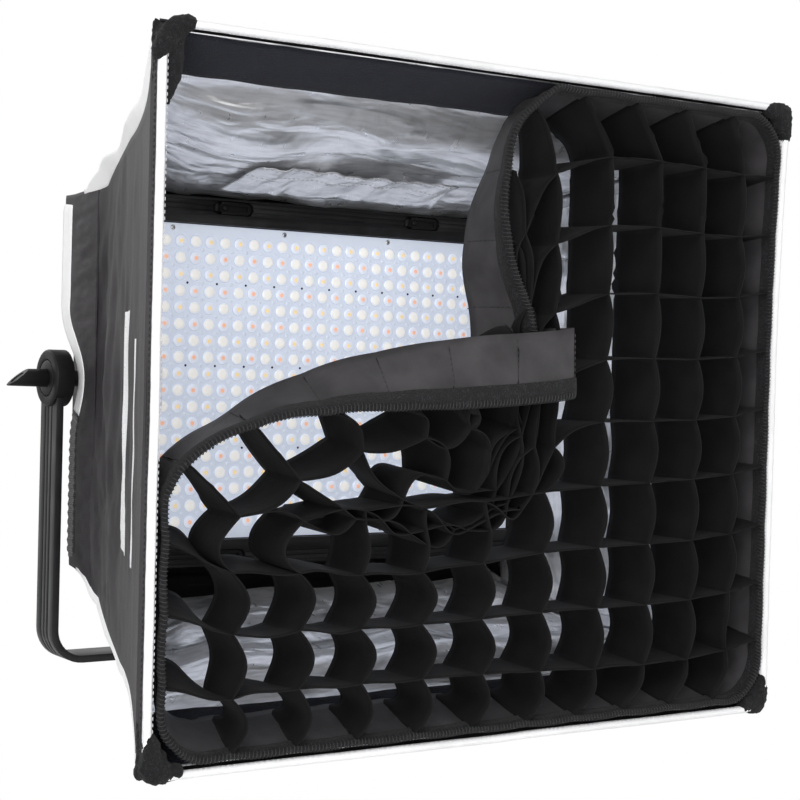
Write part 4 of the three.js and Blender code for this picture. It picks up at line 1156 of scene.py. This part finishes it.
GRID_MOVE, GRID_SETTLE = 36, 40
GRID_CLOTH = {
    "quality": 5, "mass": 0.25, "air_damping": 2.0,
    "tension_stiffness": 25, "compression_stiffness": 25, "shear_stiffness": 12,
    "bending_model": "LINEAR", "bending_stiffness": 2.0,
    "tension_damping": 8, "compression_damping": 8, "shear_damping": 8, "bending_damping": 1.0,
    "vertex_group_mass": "pinned",
}
BORDER_REFINE = 3
HEM_SECTION = ((13.0, 0.7), (12.4, 1.7), (6.0, 2.0), (1.0, 1.9), (-0.8, 1.0), (-0.8, -0.9), (1.0, -1.8),
               (5.0, -1.7), (8.4, -1.5), (9.0, -0.7))
OVERCAST = ((3.2, 2.1), (0.5, 2.4), (-1.3, 1.0), (-1.3, -1.0), (0.5, -2.2), (3.2, -2.0))


def drape_grid(lattice):
    """Cloth simulation: the flat grid's border is carried to its place and the walls follow."""
    target, pinned, lift = place_border(lattice)
    rest = lattice.rest()
    guide = guide_crossings(lattice, target, pinned)
    mesh = bpy.data.meshes.new("grid_simulation")
    mesh.from_pydata(rest.tolist(), [], lattice.faces)
    piece = bpy.data.objects.new("grid_simulation", mesh)
    scene = bpy.context.scene
    scene.collection.objects.link(piece)
    scene.render.fps = 25
    fitted, lifted = [piece.shape_key_add(name=name) for name in ("flat", "fitted", "lifted")][1:]
    fitted.data.foreach_set("co", np.where((pinned | (guide > 0))[:, None], target, rest).ravel())
    lifted.data.foreach_set("co", (rest + lift).ravel())
    group = piece.vertex_groups.new(name="pinned")
    group.add(np.nonzero(pinned)[0].tolist(), 1.0, "REPLACE")
    for i in np.nonzero(guide > 0)[0]:
        group.add([int(i)], float(guide[i]), "REPLACE")
    for f in range(1, GRID_MOVE + 1):
        share = float(smoothstep((f - 1) / (GRID_MOVE - 1)))
        for key, value in ((fitted, share), (lifted, math.sin(math.pi * share))):
            key.value = value
            key.keyframe_insert("value", frame=f)
    cloth = piece.modifiers.new("Cloth", "CLOTH")
    for key, value in GRID_CLOTH.items():
        setattr(cloth.settings, key, value)
    cloth.settings.effector_weights.gravity = 0.15
    cloth.collision_settings.use_self_collision = False
    cloth.collision_settings.use_collision = False
    cloth.point_cache.frame_start = 1
    cloth.point_cache.frame_end = GRID_MOVE + GRID_SETTLE
    for f in range(1, GRID_MOVE + GRID_SETTLE + 1):
        scene.frame_set(f)
    points = vertex_values(settled_mesh(piece), "co")
    scene.frame_set(1)
    crossing = (lattice.u % 1 == 0) & (lattice.v % 1 == 0)
    return relax(points, lattice.faces, pinned | crossing, 3, 0.5)


def border_walk():
    """The border's lattice steps in order: bottom, right, top, left."""
    wide, high = COLUMNS * WALL_STEPS, ROWS * WALL_STEPS
    walk = [(u, 0) for u in range(wide)]
    walk += [(wide, v) for v in range(high)]
    walk += [(u, high) for u in range(wide, 0, -1)]
    walk += [(0, v) for v in range(high, 0, -1)]
    return walk


def refine_loop(rows, times):
    """Catmull-Rom points between the columns of a closed (rows, columns, 3) loop."""
    before, after, next_after = np.roll(rows, 1, 1), np.roll(rows, -1, 1), np.roll(rows, -2, 1)
    parts = []
    for t in np.arange(times) / times:
        bend = (2 * before - 5 * rows + 4 * after - next_after) * t * t
        cube = (3 * rows - before - 3 * after + next_after) * t**3
        parts.append(0.5 * (2 * rows + (after - before) * t + bend + cube))
    return np.stack(parts, 2).reshape(rows.shape[0], -1, 3)


def build_grid():
    lattice = Lattice()
    points = keep_behind_strip(tuck_behind(drape_grid(lattice), lattice), lattice)
    points = bow_right(points + np.array([MOUTH_X, MOUTH_Y - 0.3 * MM, MOUTH_Z]))

    walls = [face for face, edge in zip(lattice.faces, lattice.is_border) if not edge]
    used = np.unique(walls)
    flat = lattice.rest()
    batch = Batch()
    uvs = [[(flat[i][0] + flat[i][2], flat[i][1]) for i in face] for face in walls]
    batch.add(points[used], np.searchsorted(used, walls).tolist(), uvs)
    # The cell walls take the grid cloth painted darker, as painted shade inside the cells.
    cells = batch.build("grid_cell_walls", GRID_SHADED_CLOTH)
    modifier(cells, "SUBSURF", levels=1, render_levels=1)
    modifier(cells, "SOLIDIFY", thickness=0.8 * MM, offset=0, solidify_mode="NON_MANIFOLD",
             nonmanifold_thickness_mode="FIXED", nonmanifold_boundary_mode="FLAT")
    finish_piece(cells, "grid", "grid_fabric", "grid_cells")

    places, walk = lattice.places, border_walk()
    rows = np.array([[points[places[(u, v, k)]] for u, v in walk] for k in range(DEPTH_STEPS + 1)])
    rows = refine_loop(rows, BORDER_REFINE)
    tangent = unit(np.roll(rows, -1, 1) - np.roll(rows, 1, 1))
    outward = unit(np.cross(unit(np.gradient(rows, axis=0)), tangent))
    phase = np.arange(rows.shape[1]) / (BORDER_REFINE * WALL_STEPS)
    puff = (0.5 - 0.5 * np.cos(2 * math.pi * phase)) ** 0.5 * 1.2 * MM
    rows = rows + outward * (puff + 0.3 * MM)[None, :, None]
    batch = Batch()
    add_sheet(batch, rows, closed=True)
    border = batch.build("grid_border_cloth", GRID_SATIN)
    modifier(border, "SUBSURF", levels=1, render_levels=1)
    solidify(border, 0.9 * MM)
    finish_piece(border, "grid", "grid_fabric", "grid_border")
    build_grid_hem(rows, outward)


def build_grid_hem(rows, outward):
    """Hook tape folded over the border's front edge, overcast with thread, and the walls' seams."""
    down = unit(rows[1] - rows[0])

    def lane(depth, lift):
        """The line along the border so many millimetres behind its front edge and out from its face."""
        at = max(depth, 0) * MM / (GRID_DEPTH / DEPTH_STEPS)
        k = min(int(at), DEPTH_STEPS - 1)
        face = lerp(rows[k], rows[k + 1], at - k) + lerp(outward[k], outward[k + 1], at - k) * lift * MM
        return face + down * min(depth, 0) * MM

    strips = np.array([lane(*place) for place in HEM_SECTION])
    strips = strips + outward[0] * (waves(strips, 5 * MM, 2, 14.0) * 0.35 * MM)[..., None]
    batch = Batch()
    add_sheet(batch, strips, closed=True)
    finish_piece(batch.build("grid_hook_tape", HOOK_TAPE), "grid", "grid_fabric")

    thread = Batch()
    front, *lanes, ups = [np.concatenate([line, line[:1]])
                          for line in (rows[0], *(lane(*place) for place in OVERCAST), outward[0])]
    lengths = arc_lengths(front)
    for s in np.arange(0, lengths[-1], 2.6 * MM):
        spots = [(line, min(s + n * 0.25 * MM, lengths[-1])) for n, line in enumerate(lanes)]
        *path, up = [np.array([np.interp(at, lengths, line[:, a]) for a in range(3)])
                     for line, at in (*spots, (ups, s))]
        side = unit(np.cross(path[-1] - path[0] + 1e-9, up))
        add_sweep(thread, np.array(path), side, circle(0.34 * MM, 4))
    finish_piece(thread.build("grid_overcast_thread", DARK_THREAD), "grid", "grid_fabric")

    seams = Batch()
    for j in range(0, rows.shape[1], BORDER_REFINE * WALL_STEPS):
        line = resample((rows[:, j] + outward[:, j] * 0.6 * MM)[1:], 2 * MM)
        add_stitches(seams, line, outward[2, j], radius=0.42 * MM, length=2.6 * MM, gap=1.2 * MM)
    finish_piece(seams.build("grid_border_seams", DARK_THREAD), "grid", "grid_fabric")


# ---- Stage ----------------------------------------------------------------------------------------


def build_stage():
    s = Shader("pale_floor", (0.86, 0.86, 0.87), 0.6)
    s.paint(s.noise(0.4, 3), (0.85, 0.85, 0.86), (0.88, 0.88, 0.88))
    batch = Batch()
    rings = [np.pad(circle(radius, 64), ((0, 0), (0, 1))) for radius in (0.02, 0.6, 1.2, 1.7)]
    add_sheet(batch, np.array(rings), closed=True)
    batch.faces.append(tuple(range(64)))
    batch.uvs.append([(0, 0)] * 64)
    batch.slots.append(0)
    floor = batch.build("floor", s)
    floor.location = (0, 0, -0.55)


def add_area(name, place, target, size, watts):
    light = bpy.data.lights.new(name, "AREA")
    light.shape = "RECTANGLE"
    light.size, light.size_y = size
    light.energy = watts
    made = bpy.data.objects.new(name, light)
    made.location = place
    made.rotation_mode = "QUATERNION"
    made.rotation_quaternion = (Vector(target) - Vector(place)).to_track_quat("-Z", "Y")
    bpy.context.scene.collection.objects.link(made)


def build_lights():
    """White all round, at full strength to the camera and in reflections, and four area lights."""
    scene = bpy.context.scene
    scene.view_settings.view_transform = "Standard"
    scene.world = bpy.data.worlds.new("studio")
    scene.world.use_nodes = True
    tree = scene.world.node_tree
    background = tree.nodes["Background"]
    path, strength, seen = (tree.nodes.new("ShaderNode" + kind) for kind in ("LightPath", "MapRange", "Math"))
    strength.inputs["To Min"].default_value = 0.5
    seen.operation = "MAXIMUM"
    tree.links.new(path.outputs["Is Camera Ray"], seen.inputs[0])
    tree.links.new(path.outputs["Is Glossy Ray"], seen.inputs[1])
    tree.links.new(seen.outputs[0], strength.inputs["Value"])
    tree.links.new(strength.outputs["Result"], background.inputs["Strength"])
    background.inputs["Color"].default_value = (1, 1, 1, 1)
    mouth, lamp = (MOUTH_X, MOUTH_Y, MOUTH_Z), (0, 0, PIVOT_Z)
    for name, place, target, size, watts in (
        ("key", (-1.3, -1.5, 1.5), mouth, (1.2, 1.2), 20),
        ("fill", (1.5, -1.7, 0.5), mouth, (1.4, 1.4), 8),
        ("back", (-0.6, 1.6, 1.2), lamp, (1.2, 1.0), 9),
        ("front", (-1.15, -1.5, 0.05), mouth, (0.8, 0.8), 13),
    ):
        add_area(name, place, target, size, watts)


CAMERA_PLACE = (-0.70663, -1.2309, 0.2382)
CAMERA_TURNS = (0.58593, -0.0196, 0.02655)  # yaw, pitch and roll
CAMERA_LENS = 79.77


def build_camera():
    yaw, pitch, roll = CAMERA_TURNS
    ahead = Vector((math.sin(yaw) * math.cos(pitch), math.cos(yaw) * math.cos(pitch), math.sin(pitch)))
    level = Vector((math.cos(yaw), -math.sin(yaw), 0))
    square = level.cross(ahead)
    right = level * math.cos(roll) + square * math.sin(roll)
    up = square * math.cos(roll) - level * math.sin(roll)
    data = bpy.data.cameras.new("camera")
    data.lens = CAMERA_LENS
    camera = bpy.data.objects.new("camera", data)
    bpy.context.scene.collection.objects.link(camera)
    axes = Matrix((right, up, -ahead)).transposed().to_4x4()
    camera.matrix_world = Matrix.Translation(CAMERA_PLACE) @ axes
    bpy.context.scene.camera = camera


# ---- Everything -----------------------------------------------------------------------------------

PAINT = make_painted_metal()
PLASTIC = make_plastic()
STEEL = make_steel()
ALUMINIUM = make_aluminium()
BOARD = make_board_white()
CIRCUIT = make_circuit()
DISPLAY = make_display()
LENS_SHEET = make_lens_plate()
LENS_AMBER = make_lens("lens_amber", (0.96, 0.70, 0.36), 0.38)
LENS_CREAM = make_lens("lens_cream", (0.86, 0.84, 0.80), 0.78)
LENS_RED = make_lens("lens_orange", (0.96, 0.50, 0.32), 0.38)
NYLON = make_nylon()
PRINTED = make_printed_nylon([(0.115, 0.280, 0.152, 0.178), (0.135, 0.284, 0.124, 0.129)])
WHITE = make_white_tape()
FOIL = make_foil("silver_foil", 0.96)
FLAP_FOIL = make_foil("silver_flap_foil", 0.8, 0.8)
SEAM_CORD = make_foil("seam_cord_foil", 0.7, 0.3)
PILE = make_pile("loop_pile", (0.010, 0.011, 0.018), (0.035, 0.037, 0.05))
STRAP = make_pile("strap_pile", (0.008, 0.008, 0.009), (0.04, 0.04, 0.043))
HOOK_TAPE = make_pile("hook_tape", (0.010, 0.010, 0.011), (0.05, 0.05, 0.055))
# Painted shade: the cell walls' cloth is far darker than the border's, for the shade inside the cells.
GRID_SHADED_CLOTH = make_grid_cloth("grid_cloth", (0.003, 0.0027, 0.003), (0.006, 0.0055, 0.006), 0.8, 0.02)
GRID_SATIN = make_grid_cloth("grid_border_satin", (0.034, 0.032, 0.034), (0.056, 0.053, 0.056), 0.5, 0.03)
GREY_THREAD = make_thread("grey_thread", (0.45, 0.45, 0.47))
DARK_THREAD = make_thread("dark_thread", (0.012, 0.012, 0.013))
ELASTIC = make_elastic()

dress_cad()
build_shell()
build_gussets()
build_liner()
build_rim_tape()
build_flap()
build_collar()
build_sleeves()
build_corner_wraps()
build_lenses()
build_screws()
build_grid()
build_stage()
build_lights()
build_camera()
